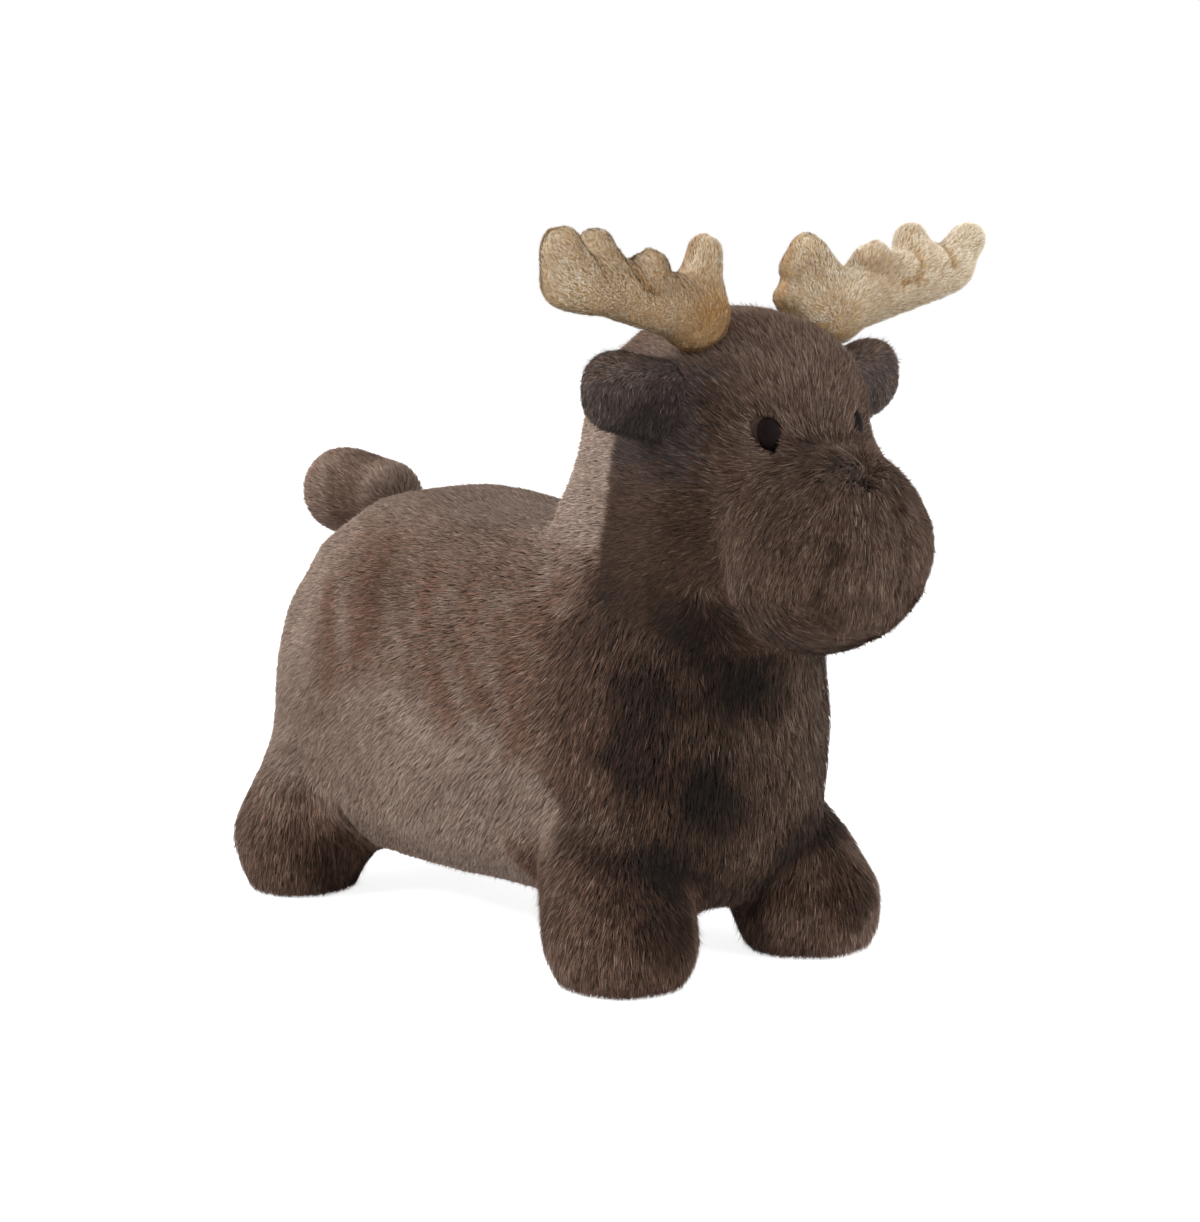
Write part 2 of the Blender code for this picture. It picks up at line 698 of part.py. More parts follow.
# Tail: two fur halves over stuffing
def tail_solid(grow):
    end = TAIL_ROOT + Vector((0.0, TAIL_REACH, TAIL_LIFT))
    return hull(
        ball(TAIL_ROOT, TAIL_ROOT_RADIUS, ROOT_MESH, grow),
        ball(end, TAIL_END_RADIUS, LIMB_MESH, grow),
    )


def build_tail():
    skin = cut(tail_solid(0.0), tail_solid(-TAIL_PILE))
    finish_pair(part_of(skin, half_space(SEAM / 2)), "tail_cover", *FUR_BACK)
    finish(tail_solid(-TAIL_PILE - SEAT_GAP), "tail_filling", *STUFFING)
    bpy.data.objects.remove(skin, do_unlink=True)


# Eyes
def build_eyes():
    dome = ball((0.0, 0.0, 0.0), 1.0, (EYE_MESH,))
    dome.data.transform(
        Matrix.Translation((0.0, 0.0, -EYE_SEAT_DEPTH))
        @ Matrix.Diagonal((EYE_HALF_WIDTH, EYE_HALF_HEIGHT, EYE_DOME, 1.0))
    )
    cut(dome, below(-EYE_SEAT_DEPTH))
    shank_top = -EYE_SEAT_DEPTH + EYE_DOME / 2
    shank_length = shank_top + EYE_SHANK_END
    shank = cylinder((0.0, 0.0, shank_top - shank_length / 2), EYE_SHANK_RADIUS, shank_length, sides=12)
    finish_pair(in_eye_frame(join(dome, shank)), "eye", "201615", 0.25)
    washer_middle = (0.0, 0.0, -EYE_WASHER_FRONT - EYE_WASHER_THICKNESS / 2)
    washer = cylinder(washer_middle, EYE_WASHER_RADIUS, EYE_WASHER_THICKNESS, sides=16)
    cut(washer, cylinder(washer_middle, EYE_SHANK_RADIUS + SEAT_GAP, 3 * EYE_WASHER_THICKNESS, sides=12))
    finish_pair(in_eye_frame(washer), "eye_washer", "ddd8cc", 0.5)


# Zip: tapes, interlocked teeth, stops, slider and pull
ZIP_CHAIN_LENGTH = ZIP_TEETH * ZIP_TOOTH_PITCH
ZIP_CHAIN_FRONT = ZIP_FRONT + SEAT_GAP + ZIP_STOP_LENGTH + SEAT_GAP
ZIP_CHAIN_REAR = ZIP_CHAIN_FRONT + ZIP_CHAIN_LENGTH
ZIP_REAR = ZIP_CHAIN_REAR + SEAT_GAP + ZIP_STOP_LENGTH + SEAT_GAP
ZIP_CHAIN_TOP = ZIP_CHAIN_BOTTOM + ZIP_CHAIN_HEIGHT
ZIP_TAPE_INNER = ZIP_SPINE_INNER + ZIP_SPINE_WIDTH + SEAT_GAP


def ordered(one, other):
    low = tuple(min(a, b) for a, b in zip(one, other))
    high = tuple(max(a, b) for a, b in zip(one, other))
    return low, high


def zip_teeth(side):
    """A spine with a row of teeth that reach across to mesh with the other row, as one flat outline."""
    spine_outer = ZIP_SPINE_INNER + ZIP_SPINE_WIDTH
    outline = [(side * spine_outer, ZIP_CHAIN_REAR), (side * spine_outer, ZIP_CHAIN_FRONT)]
    outline.append((side * ZIP_SPINE_INNER, ZIP_CHAIN_FRONT))
    first = ZIP_CHAIN_FRONT + ZIP_TOOTH_PITCH * (0.25 if side > 0 else 0.75)
    for index in range(ZIP_TEETH):
        front = first + index * ZIP_TOOTH_PITCH - ZIP_TOOTH_LENGTH / 2
        rear = front + ZIP_TOOTH_LENGTH
        outline.append((side * ZIP_SPINE_INNER, front))
        outline.append((-side * ZIP_TOOTH_REACH, front))
        outline.append((-side * ZIP_TOOTH_REACH, rear))
        outline.append((side * ZIP_SPINE_INNER, rear))
    outline.append((side * ZIP_SPINE_INNER, ZIP_CHAIN_REAR))
    return extruded(outline, ZIP_CHAIN_BOTTOM, ZIP_CHAIN_TOP)


def extruded(outline, low, high):
    """A flat outline given its thickness between two heights."""
    curve = bpy.data.curves.new("outline", "CURVE")
    curve.dimensions = "2D"
    curve.fill_mode = "BOTH"
    curve.extrude = (high - low) / 2
    spline = curve.splines.new("POLY")
    spline.points.add(len(outline) - 1)
    for point, (x, y) in zip(spline.points, outline):
        point.co = (x, y, 0.0, 1.0)
    spline.use_cyclic_u = True
    flat = bpy.data.objects.new("outline", curve)
    flat.location.z = (low + high) / 2
    CUTTERS.objects.link(flat)
    bpy.context.view_layer.update()
    evaluated = flat.evaluated_get(bpy.context.evaluated_depsgraph_get())
    mesh = bpy.data.meshes.new_from_object(evaluated)
    work = bmesh.new()
    work.from_mesh(mesh)
    bmesh.ops.remove_doubles(work, verts=work.verts, dist=0.00001)
    bmesh.ops.recalc_face_normals(work, faces=work.faces)
    work.to_mesh(mesh)
    work.free()
    solid = bpy.data.objects.new("extruded", mesh)
    solid.matrix_world = flat.matrix_world
    CUTTERS.objects.link(solid)
    bpy.data.objects.remove(flat, do_unlink=True)
    return as_tool(solid)


def build_zip():
    tape_low = (ZIP_CHAIN_BOTTOM + ZIP_CHAIN_TOP - ZIP_TAPE_THICKNESS) / 2
    tape = box(
        (ZIP_TAPE_INNER, ZIP_FRONT + SEAT_GAP, tape_low),
        (ZIP_SLOT_HALF_WIDTH - SEAT_GAP, ZIP_REAR - SEAT_GAP, tape_low + ZIP_TAPE_THICKNESS),
    )
    finish_pair(tape, "zip_tape", "2f2621", 0.85)
    for name, side in SIDES.items():
        finish(zip_teeth(side), "zip_teeth_" + name, "1c1816", 0.4, smooth=False)
    stop_half_width = ZIP_SPINE_INNER + ZIP_SPINE_WIDTH
    for name, start in (("front", ZIP_FRONT + SEAT_GAP), ("rear", ZIP_CHAIN_REAR + SEAT_GAP)):
        stop = box(
            (-stop_half_width, start, ZIP_CHAIN_BOTTOM),
            (stop_half_width, start + ZIP_STOP_LENGTH, ZIP_CHAIN_TOP),
        )
        finish(stop, "zip_stop_" + name, "8b8378", 0.35, 0.8)


def build_slider():
    """Slider plate with the bridge that its pull hangs from, and the pull hanging."""
    middle_y = ZIP_CHAIN_FRONT + SLIDER_HALF_LENGTH + SEAT_GAP
    plate_top = ZIP_CHAIN_BOTTOM - SEAT_GAP
    plate_bottom = plate_top - SLIDER_PLATE
    bridge_bottom = plate_bottom - BRIDGE_OPENING - BRIDGE_BAR
    slider = box(
        (-SLIDER_HALF_WIDTH, middle_y - SLIDER_HALF_LENGTH, plate_bottom),
        (SLIDER_HALF_WIDTH, middle_y + SLIDER_HALF_LENGTH, plate_top),
    )
    bridge = box(
        (-BRIDGE_HALF_WIDTH, middle_y - BRIDGE_HALF_LENGTH, bridge_bottom),
        (BRIDGE_HALF_WIDTH, middle_y + BRIDGE_HALF_LENGTH, plate_bottom + SLIDER_PLATE / 2),
    )
    cut(bridge, box(
        (-FAR, middle_y - BRIDGE_HALF_LENGTH + BRIDGE_BAR, bridge_bottom + BRIDGE_BAR),
        (FAR, middle_y + BRIDGE_HALF_LENGTH - BRIDGE_BAR, plate_bottom),
    ))
    finish(join(slider, bridge), "zip_slider", "8b8378", 0.35, 0.8, smooth=False)

    axis_z = plate_bottom - BRIDGE_OPENING / 2
    pull = box(
        (-PULL_HALF_WIDTH, -PULL_HALF_THICKNESS, -PULL_LENGTH),
        (PULL_HALF_WIDTH, PULL_HALF_THICKNESS, 0.0),
    )
    cut(pull, box(
        (-PULL_WINDOW_HALF_WIDTH, -FAR, -PULL_WINDOW_END),
        (PULL_WINDOW_HALF_WIDTH, FAR, FAR),
    ))
    bar = cylinder((0.0, 0.0, 0.0), PULL_BAR_RADIUS, 2 * PULL_HALF_WIDTH, axis="X", sides=10)
    join(pull, bar)
    finish(pull, "zip_pull", "8b8378", 0.35, 0.8, smooth=False)
    pull.location = (0.0, middle_y, axis_z)


def set_origin(name, pivot):
    """Put the origin of a moving piece's node on its joint."""
    obj = bpy.data.objects[name]
    obj.data.transform(Matrix.Translation(-pivot))
    obj.location = pivot


build_bladder()
build_valve_plug()
build_cover()
build_muzzle()
build_antlers()
build_ears()
build_tail()
build_eyes()
build_zip()
build_slider()
for side_name, side_sign in SIDES.items():
    mirror = Vector((side_sign, 1.0, 1.0))
    for layer in ("front_", "back_", "filling_"):
        set_origin("antler_" + layer + side_name, ANTLER_ROOT * mirror)
        set_origin("ear_" + layer + side_name, EAR_ROOT * mirror)
for tail_piece in ("tail_cover_left", "tail_cover_right", "tail_filling"):
    set_origin(tail_piece, TAIL_ROOT)
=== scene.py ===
"""Fur-covered bouncy ride-on animal: a dark brown calf with stuffed tan antlers, on a white floor."""

import math

import bmesh
import bpy
import numpy as np
from mathutils import Matrix, Vector


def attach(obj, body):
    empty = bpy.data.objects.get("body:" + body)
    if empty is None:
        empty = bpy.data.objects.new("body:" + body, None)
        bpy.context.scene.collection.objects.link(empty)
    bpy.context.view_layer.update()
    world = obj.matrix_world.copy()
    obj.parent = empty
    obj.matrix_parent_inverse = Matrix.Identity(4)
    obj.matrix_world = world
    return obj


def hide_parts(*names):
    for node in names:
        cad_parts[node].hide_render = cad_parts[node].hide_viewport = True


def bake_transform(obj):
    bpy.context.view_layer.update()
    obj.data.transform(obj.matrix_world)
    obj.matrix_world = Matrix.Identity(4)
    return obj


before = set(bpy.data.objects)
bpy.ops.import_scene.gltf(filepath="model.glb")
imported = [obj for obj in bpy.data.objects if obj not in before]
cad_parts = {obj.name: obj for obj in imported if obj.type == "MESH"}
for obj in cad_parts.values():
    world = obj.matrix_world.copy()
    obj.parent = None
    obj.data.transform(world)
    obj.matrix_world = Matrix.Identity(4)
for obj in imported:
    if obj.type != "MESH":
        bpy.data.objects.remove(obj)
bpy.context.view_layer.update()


# Bladder and valve
# The air bladder is soft translucent vinyl, welded from sheet. Its valve tube comes out through an eyelet
# in the belly, and a push-in plug of the same vinyl closes it. Both come from the CAD as they are.
def linear(hex_colour):
    """sRGB hex to linear RGBA."""
    values = [int(hex_colour[i:i + 2], 16) / 255.0 for i in (1, 3, 5)]
    return tuple(((v + 0.055) / 1.055) ** 2.4 if v > 0.04045 else v / 12.92 for v in values) + (1.0,)


def add_node(owner, kind, links=(), stops=(), **settings):
    """Add a node: links give inputs a socket or a fixed value, and stops are a colour ramp's."""
    node = owner.node_tree.nodes.new(kind)
    for key, value in settings.items():
        if hasattr(node, key):
            setattr(node, key, value)
        else:
            node.inputs[key.replace("_", " ")].default_value = value
    for place, source in links:
        if isinstance(source, bpy.types.NodeSocket):
            owner.node_tree.links.new(source, node.inputs[place])
        else:
            node.inputs[place].default_value = source
    if stops:
        elements = node.color_ramp.elements
        while len(elements) < len(stops):
            elements.new(0.5)
        for element, (place, colour) in zip(elements, stops):
            element.position = place
            element.color = linear(colour)
    return node


def new_material(name, **sockets):
    """A Principled material with constant values set on its own sockets."""
    material = bpy.data.materials.new(name)
    material.use_nodes = True
    shader = material.node_tree.nodes["Principled BSDF"]
    for key, value in sockets.items():
        shader.inputs[key.replace("_", " ")].default_value = value
    return material, shader


def mottled(name, dark, light, grain, relief=0.0, **sockets):
    """A material that wanders between two colours, with a fine relief, at so many grains to the metre."""
    material, shader = new_material(name, **sockets)
    place = add_node(material, "ShaderNodeTexCoord").outputs["Object"]
    noise = add_node(material, "ShaderNodeTexNoise", [("Vector", place)], Scale=grain, Detail=4.0)
    stops = ((0.32, dark), (0.68, light))
    colour = add_node(material, "ShaderNodeValToRGB", [(0, noise.outputs["Fac"])], stops)
    material.node_tree.links.new(colour.outputs["Color"], shader.inputs["Base Color"])
    if relief:
        bump = add_node(
            material, "ShaderNodeBump", [("Height", noise.outputs["Fac"])], Strength=0.6, Distance=relief
        )
        material.node_tree.links.new(bump.outputs["Normal"], shader.inputs["Normal"])
    return material


def dress(material, *names):
    """Give carried-over CAD nodes a material of the scene's own."""
    for node_name in names:
        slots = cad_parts[node_name].material_slots
        for slot in slots:
            slot.material = material


# Soft vinyl: cream, faintly clouded, with the low gloss of welded sheet
dress(mottled("soft_vinyl", "#cfc9b8", "#e0dbcd", 90.0, 0.0002, Roughness=0.38), "bladder")
# Plug vinyl: the same, a shade whiter and harder
dress(mottled("moulded_vinyl", "#dedacf", "#eeebe2", 300.0, 0.00005, Roughness=0.34), "valve_plug")


# Stuffing
# White polyester fibrefill in the muzzle, antlers, ears and tail. The antlers' and ears' stuffing is made
# with their covers, which it follows.
SIDES = (("left", 1.0), ("right", -1.0))
fibrefill = mottled("fibrefill", "#dcd8cf", "#f3f1ec", 420.0, 0.0008, Roughness=0.95)
dress(fibrefill, "muzzle_filling", "tail_filling")


# Cover foundation
# The knitted backing of the long-pile fabric, pulled tight and smooth over the air-filled body. It lies
# deep under the pile and shows only as shade between the hairs. It is one closed skin, laid a pile's
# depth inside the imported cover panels, so that their gaps, seams and flats are sewn over.
PILE_DEPTH = 0.0034
COVER_MESH = 0.004
COVER_STEPS = 9
HEAD_PANELS = ["head_side_left", "head_side_right", "head_gusset"]
BODY_PANELS = ["body_cover_left", "body_cover_right", "belly_panel"]
LEG_PANELS = [
    f"{piece}_{place}_{side}" for piece in ("leg", "sole") for place in ("front", "rear") for side, sign in SIDES
]
MUZZLE_PANELS = ["muzzle_gusset", "muzzle_side_left", "muzzle_side_right"]
NECK_LOW = 0.262
NECK_REAR = -0.035
RUMP_FRONT = 0.10
RUMP_LOW = 0.15
ZIP_HOLLOW = ((-0.017, -0.038, 0.0342), (0.017, 0.062, 0.046))


def node_points(*names):
    return np.array([v.co[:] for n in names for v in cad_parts[n].data.vertices])


def apply_modifier(obj, name):
    """Apply one modifier of an object, with that object alone selected."""
    bpy.ops.object.select_all(action="DESELECT")
    obj.select_set(True)
    bpy.context.view_layer.objects.active = obj
    bpy.ops.object.modifier_apply(modifier=name)


def closed_skin(name, nodes, fillers, voxel):
    """One closed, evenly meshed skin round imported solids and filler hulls, without their inner walls."""
    shape = bmesh.new()
    for node in nodes:
        shape.from_mesh(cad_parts[node].data)
    bmesh.ops.remove_doubles(shape, verts=shape.verts, dist=0.00001)
    for points in fillers:
        corners = [shape.verts.new(p) for p in points]
        bmesh.ops.convex_hull(shape, input=corners)
        bmesh.ops.delete(shape, geom=[v for v in corners if not v.link_faces], context="VERTS")
    mesh = bpy.data.meshes.new(name)
    shape.to_mesh(mesh)
    shape.free()
    obj = bpy.data.objects.new(name, mesh)
    bpy.context.scene.collection.objects.link(obj)
    modifier = obj.modifiers.new("weld", "REMESH")
    modifier.mode = "VOXEL"
    modifier.voxel_size = voxel
    apply_modifier(obj, "weld")
    shape = bmesh.new()
    shape.from_mesh(obj.data)
    unseen = set(shape.verts)
    bodies = []
    while unseen:
        body = [unseen.pop()]
        for vertex in body:
            near = {edge.other_vert(vertex) for edge in vertex.link_edges} & unseen
            unseen -= near
            body.extend(near)
        bodies.append(body)
    bodies.sort(key=len)
    for inner in bodies[:-1]:
        bmesh.ops.delete(shape, geom=inner, context="VERTS")
    shape.to_mesh(obj.data)
    shape.free()
    return obj


def points_of(obj):
    points = np.empty(len(obj.data.vertices) * 3)
    obj.data.vertices.foreach_get("co", points)
    return points.reshape(-1, 3)


def normals_of(obj):
    normals = np.empty(len(obj.data.vertices) * 3, np.float32)
    obj.data.vertex_normals.foreach_get("vector", normals)
    return normals.reshape(-1, 3).astype(float)


def set_points(obj, points):
    obj.data.vertices.foreach_set("co", points.astype(np.float32).ravel())
    obj.data.update()


def relax(obj, steps):
    """Even a skin out by moving each point halfway towards the middle of its neighbours, step by step."""
    edges = np.empty(len(obj.data.edges) * 2, int)
    obj.data.edges.foreach_get("vertices", edges)
    a, b = edges.reshape(-1, 2).T
    points = points_of(obj)
    count = np.bincount(a, minlength=len(points)) + np.bincount(b, minlength=len(points))
    for step in range(steps):
        total = np.empty_like(points)
        for axis in range(3):
            total[:, axis] = np.bincount(a, points[b, axis], len(points))
            total[:, axis] += np.bincount(b, points[a, axis], len(points))
        points = (points + total / count[:, None]) / 2
    set_points(obj, points)


def lumps(points, size, seed):
    """Smooth random values from -1 to 1 that vary over about the given size."""
    grid = points / size
    cell = np.floor(grid).astype(np.int64)
    part = grid - cell
    part = part * part * (3.0 - 2.0 * part)
    value = np.zeros(len(points))
    for corner in range(8):
        step = np.array([corner & 1, corner >> 1 & 1, corner >> 2 & 1])
        spot = cell + step
        mixed = spot[:, 0] * 73856093 ^ spot[:, 1] * 19349663 ^ spot[:, 2] * 83492791 ^ seed * 2654435761
        mixed = (mixed ^ (mixed >> 13)) * 1274126177 & 0x7FFFFFFF
        mixed = (mixed ^ (mixed >> 16)) & 0xFFFF
        weight = np.prod(np.where(step, part, 1.0 - part), axis=1)
        value += weight * (mixed / 32767.5 - 1.0)
    return value


def ease(value, start, end):
    """0 before start, 1 after end and smooth between; start may lie above end."""
    part = np.clip((value - start) / (end - start), 0.0, 1.0)
    return part * part * (3.0 - 2.0 * part)


def finish_skin(obj, name, material, nodes, tone):
    """Name a finished skin, give it its material and tone, and let it stand for its CAD nodes."""
    obj.name = name
    obj.data.name = name
    obj.data.shade_smooth()
    obj.data.materials.clear()
    obj.data.materials.append(material)
    shade = obj.data.attributes.new("tone", "FLOAT", "POINT")
    shade.data.foreach_set("value", np.broadcast_to(tone, len(obj.data.vertices)).astype(np.float32))
    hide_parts(*nodes)


def sink(obj, depth):
    """Move a skin inwards by a depth, which may differ from point to point."""
    set_points(obj, points_of(obj) - normals_of(obj) * np.reshape(depth, (-1, 1)))


def spots(points, places):
    """The sum of soft round spots, each (middle, radius, amount); one at a positive x is on both sides."""
    mirrored = np.stack([np.abs(points[:, 0]), points[:, 1], points[:, 2]], 1)
    total = np.zeros(len(points))
    for middle, radius, amount in places:
        away = np.linalg.norm((points if middle[0] < 0 else mirrored) - middle, axis=1)
        total += amount * ease(away / radius, 1.2, 0.25)
    return total


def pile_ground(name, loops, depth, stops, **sockets):
    """What the pile stands in: coloured by its tone attribute, with so many fine loops to the metre."""
    material, shader = new_material(name, **sockets)
    tone = add_node(material, "ShaderNodeAttribute", attribute_name="tone").outputs["Fac"]
    colour = add_node(material, "ShaderNodeValToRGB", [(0, tone)], stops)
    place = add_node(material, "ShaderNodeTexCoord").outputs["Object"]
    noise = add_node(material, "ShaderNodeTexNoise", [("Vector", place)], Scale=loops, Detail=2.0)
    bump = add_node(material, "ShaderNodeBump", [("Height", noise.outputs["Fac"])], Strength=0.5, Distance=depth)
    material.node_tree.links.new(colour.outputs["Color"], shader.inputs["Base Color"])
    material.node_tree.links.new(bump.outputs["Normal"], shader.inputs["Normal"])
    return material


# Knitted backing: a matt ground in the yarn's own brown, darker than the pile, with the knit's fine loops
backing = pile_ground(
    "knitted_backing", 900.0, 0.0005, ((0.0, "#120d0b"), (0.3, "#2c211b"), (0.6, "#4f4037"), (1.0, "#85756b")),
    Roughness=0.95, Specular_IOR_Level=0.1,
)

head_points = node_points(*HEAD_PANELS, "body_cover_left", "body_cover_right")
head_points = head_points[(head_points[:, 2] > NECK_LOW) & (head_points[:, 1] < NECK_REAR)]
rump_points = node_points("body_cover_left", "body_cover_right")
rump_points = rump_points[(rump_points[:, 1] > RUMP_FRONT) & (rump_points[:, 2] > RUMP_LOW)]
zip_corners = np.array([[x, y, z] for x in (0, 1) for y in (0, 1) for z in (0, 1)])
low, high = np.array(ZIP_HOLLOW)
cover_hulls = [head_points, rump_points, low + zip_corners * (high - low)]
cover_nodes = HEAD_PANELS + BODY_PANELS + LEG_PANELS

# Where the filled cover stands fuller (+) or slimmer (-) than its pattern: over the back, at the nape and
# the back of the head, at the rump, on the chest, inside and outside the front feet, and on the muzzle
FULLNESS = (
    ((0.0, 0.130, 0.258), 0.080, 0.0048),
    ((0.066, -0.085, 0.298), 0.045, -0.0054),
    ((0.0, -0.065, 0.295), 0.045, -0.0050),
    ((0.058, -0.136, 0.372), 0.028, -0.0060),
    ((0.040, -0.108, 0.384), 0.036, -0.0095),
    ((0.090, 0.200, 0.135), 0.070, 0.0036),
    ((0.088, -0.055, 0.045), 0.050, 0.0034),
    ((0.050, -0.170, 0.130), 0.050, 0.0014),
    ((0.062, -0.160, 0.080), 0.024, 0.0030),
    ((0.034, -0.140, 0.020), 0.030, 0.0048),
    ((0.060, -0.178, 0.020), 0.024, 0.0024),
    ((0.112, -0.140, 0.008), 0.034, -0.0034),
    ((0.110, -0.160, 0.045), 0.030, -0.0030),
    ((0.110, 0.215, 0.010), 0.034, -0.0034),
    ((0.060, 0.165, 0.008), 0.030, -0.0030),
    ((0.056, -0.184, 0.316), 0.027, -0.0044),
    ((0.000, 0.020, 0.262), 0.060, -0.0014),
    ((0.0755, -0.138, 0.040), 0.050, -0.0012),
    ((0.050, -0.270, 0.262), 0.040, 0.0006),
    ((0.045, -0.252, 0.298), 0.030, -0.0030),
    ((0.018, -0.270, 0.218), 0.044, -0.0068),
)


def cover_skin(name, nodes, hulls, steps):
    """A smooth skin round the cover and further nodes, a pile's depth inside them, shallower at the floor."""
    obj = closed_skin(name, cover_nodes + ["bladder", "valve_plug"] + nodes, cover_hulls + hulls, COVER_MESH)
    relax(obj, steps)
    points = points_of(obj)
    fuller = spots(points, FULLNESS).clip(-0.0045, 0.0060) * ease(points[:, 2], 0.002, 0.006)
    sink(obj, PILE_DEPTH * (0.25 + 0.75 * ease(points[:, 2], 0.002, 0.016)) - fuller)
    relax(obj, 4)
    return obj


cover = cover_skin("cover_backing", [], [], COVER_STEPS)


# Fur pile
# Acrylic faux fur, 9 to 13 mm long, that lies back and down over the body. Neighbouring hairs draw
# together into tufts: small and sleek on the flanks and cheeks, larger and shaggy on the chest, legs,
# brow and muzzle. Each bundle of hairs is a narrow kite of two faces that bends over at its middle.
SLEEK_LENGTH = 0.0088
SHAGGY_LENGTH = 0.0132
SLEEK_WIDTH = 0.00050
SHAGGY_WIDTH = 0.00056
SLEEK_TUFT = (0.0022, 0.35, 0.030)
SHAGGY_TUFT = (0.0036, 0.60, 0.045)
TUFT_EDGE_SHADE = 0.36
HAIR_TONE = 0.095
STRAY_SHARE = 0.09
RUMP_STRANDS = 90000
FLANK_STRANDS = 90000
HEAD_STRANDS = 62000
MUZZLE_STRANDS = 50000
LEG_STRANDS = 32500
YARN_ROWS = 3
PLAIN, RED, COOL_LIGHT = range(YARN_ROWS)
BRIDGE = np.array([0.0, -0.222, 0.292])
NECK_SEAM = np.array([0.0, -0.1114, 0.2263])
NECK_SEAM_TILT = math.radians(20.0)
NAPE_SEAM_LEAN = math.radians(16.0)
LEG_SEAM_Z = 0.078
FRONT_FOOT = (0.0755, -0.138)
REAR_FOOT = (0.0805, 0.189)
MUZZLE_MIDDLE = np.array([0.0, -0.234, 0.260])
MUZZLE_HALF = np.array([0.056, 0.0475, 0.057])
MUZZLE_CROWN = np.array([0.0, -0.262, 0.306])
EYE = np.array([0.0335, -0.2200, 0.3258])
EYE_TILT = math.radians(26.0)
EYE_OPENING = (0.0064, 0.02, 0.0099)


def pile_material(name, yarns, shades, **sockets):
    """Strands coloured by their UV place: tone along U, and along V a row to each yarn, from root to tip."""
    material, shader = new_material(name, **sockets)
    place = add_node(material, "ShaderNodeUVMap", uv_map="OFBake").outputs["UV"]
    parts = add_node(material, "ShaderNodeSeparateXYZ", [(0, place)])
    rows = add_node(
        material, "ShaderNodeMath", [(0, parts.outputs["Y"]), (1, YARN_ROWS)], operation="MULTIPLY"
    ).outputs[0]
    for row, stops in enumerate(yarns):
        yarn = add_node(material, "ShaderNodeValToRGB", [(0, parts.outputs["X"])], stops).outputs["Color"]
        if row == PLAIN:
            colour = yarn
            continue
        picked = add_node(material, "ShaderNodeMath", [(0, rows), (1, row)], operation="GREATER_THAN").outputs[0]
        colour = add_node(
            material, "ShaderNodeMix", [(0, picked), (6, colour), (7, yarn)], data_type="RGBA"
        ).outputs[2]
    along = add_node(material, "ShaderNodeMath", [(0, rows)], operation="FRACT").outputs[0]
    shade = add_node(material, "ShaderNodeValToRGB", [(0, along)], shades).outputs["Color"]
    shaded = add_node(
        material, "ShaderNodeMix", [(0, 1.0), (6, colour), (7, shade)], data_type="RGBA", blend_type="MULTIPLY"
    )
    material.node_tree.links.new(shaded.outputs[2], shader.inputs["Base Color"])
    return material


# Acrylic pile: soft and fibrous, low gloss along the hair, so that the nap shows in light and dark strokes.
# The plain and the redder yarn; a cool copy of the plain one, painted bluish light; and the darkening from root to
# tip, painted shade deep in the pile
fur = pile_material(
    "acrylic_pile",
    (
        ((0.0, "#180f0a"), (0.25, "#37261b"), (0.5, "#5a4538"), (0.75, "#8b776a"), (1.0, "#bda99b")),
        ((0.0, "#1d100a"), (0.25, "#3e261a"), (0.5, "#644636"), (0.75, "#917060"), (1.0, "#c2a596")),
        # The cool copy: painted bluish light on the temples and ears
        ((0.0, "#131112"), (0.25, "#2d2626"), (0.5, "#4d4442"), (0.75, "#85776f"), (1.0, "#b9aca3")),
    ),
    # Darker towards the root: painted shade deep in the pile
    ((0.0, "#6a6a6a"), (0.35, "#c4c4c4"), (0.7, "#ececec"), (1.0, "#ffffff")),
    Roughness=0.7, Specular_IOR_Level=0.14, Sheen_Weight=0.05,
)


class Skin:
    """A skin's triangles, ready for roots to be strewn over them."""

    def __init__(self, obj):
        mesh = obj.data
        mesh.calc_loop_triangles()
        corners = np.empty(len(mesh.loop_triangles) * 3, int)
        mesh.loop_triangles.foreach_get("vertices", corners)
        self.corners = corners.reshape(-1, 3)
        self.points = points_of(obj)
        self.normals = normals_of(obj)
        a, b, c = (self.points[self.corners[:, i]] for i in range(3))
        self.area = np.linalg.norm(np.cross(b - a, c - a), axis=1) / 2
        self.middle = (a + b + c) / 3

    def strew(self, count, where, rng):
        """Root points and normals, spread evenly by area over the triangles where the mask is true."""
        share = np.cumsum(self.area * where)
        pick = np.searchsorted(share, rng.random(count) * share[-1])
        corners = self.corners[pick]
        u, v = rng.random((2, count))
        flip = u + v > 1.0
        u[flip], v[flip] = 1.0 - u[flip], 1.0 - v[flip]
        weights = np.stack([1.0 - u - v, u, v], 1)[:, :, None]
        points = (self.points[corners] * weights).sum(1)
        normals = (self.normals[corners] * weights).sum(1)
        return points, unit(normals)


def unit(vectors):
    return vectors / np.maximum(np.linalg.norm(vectors, axis=1), 1e-9)[:, None]


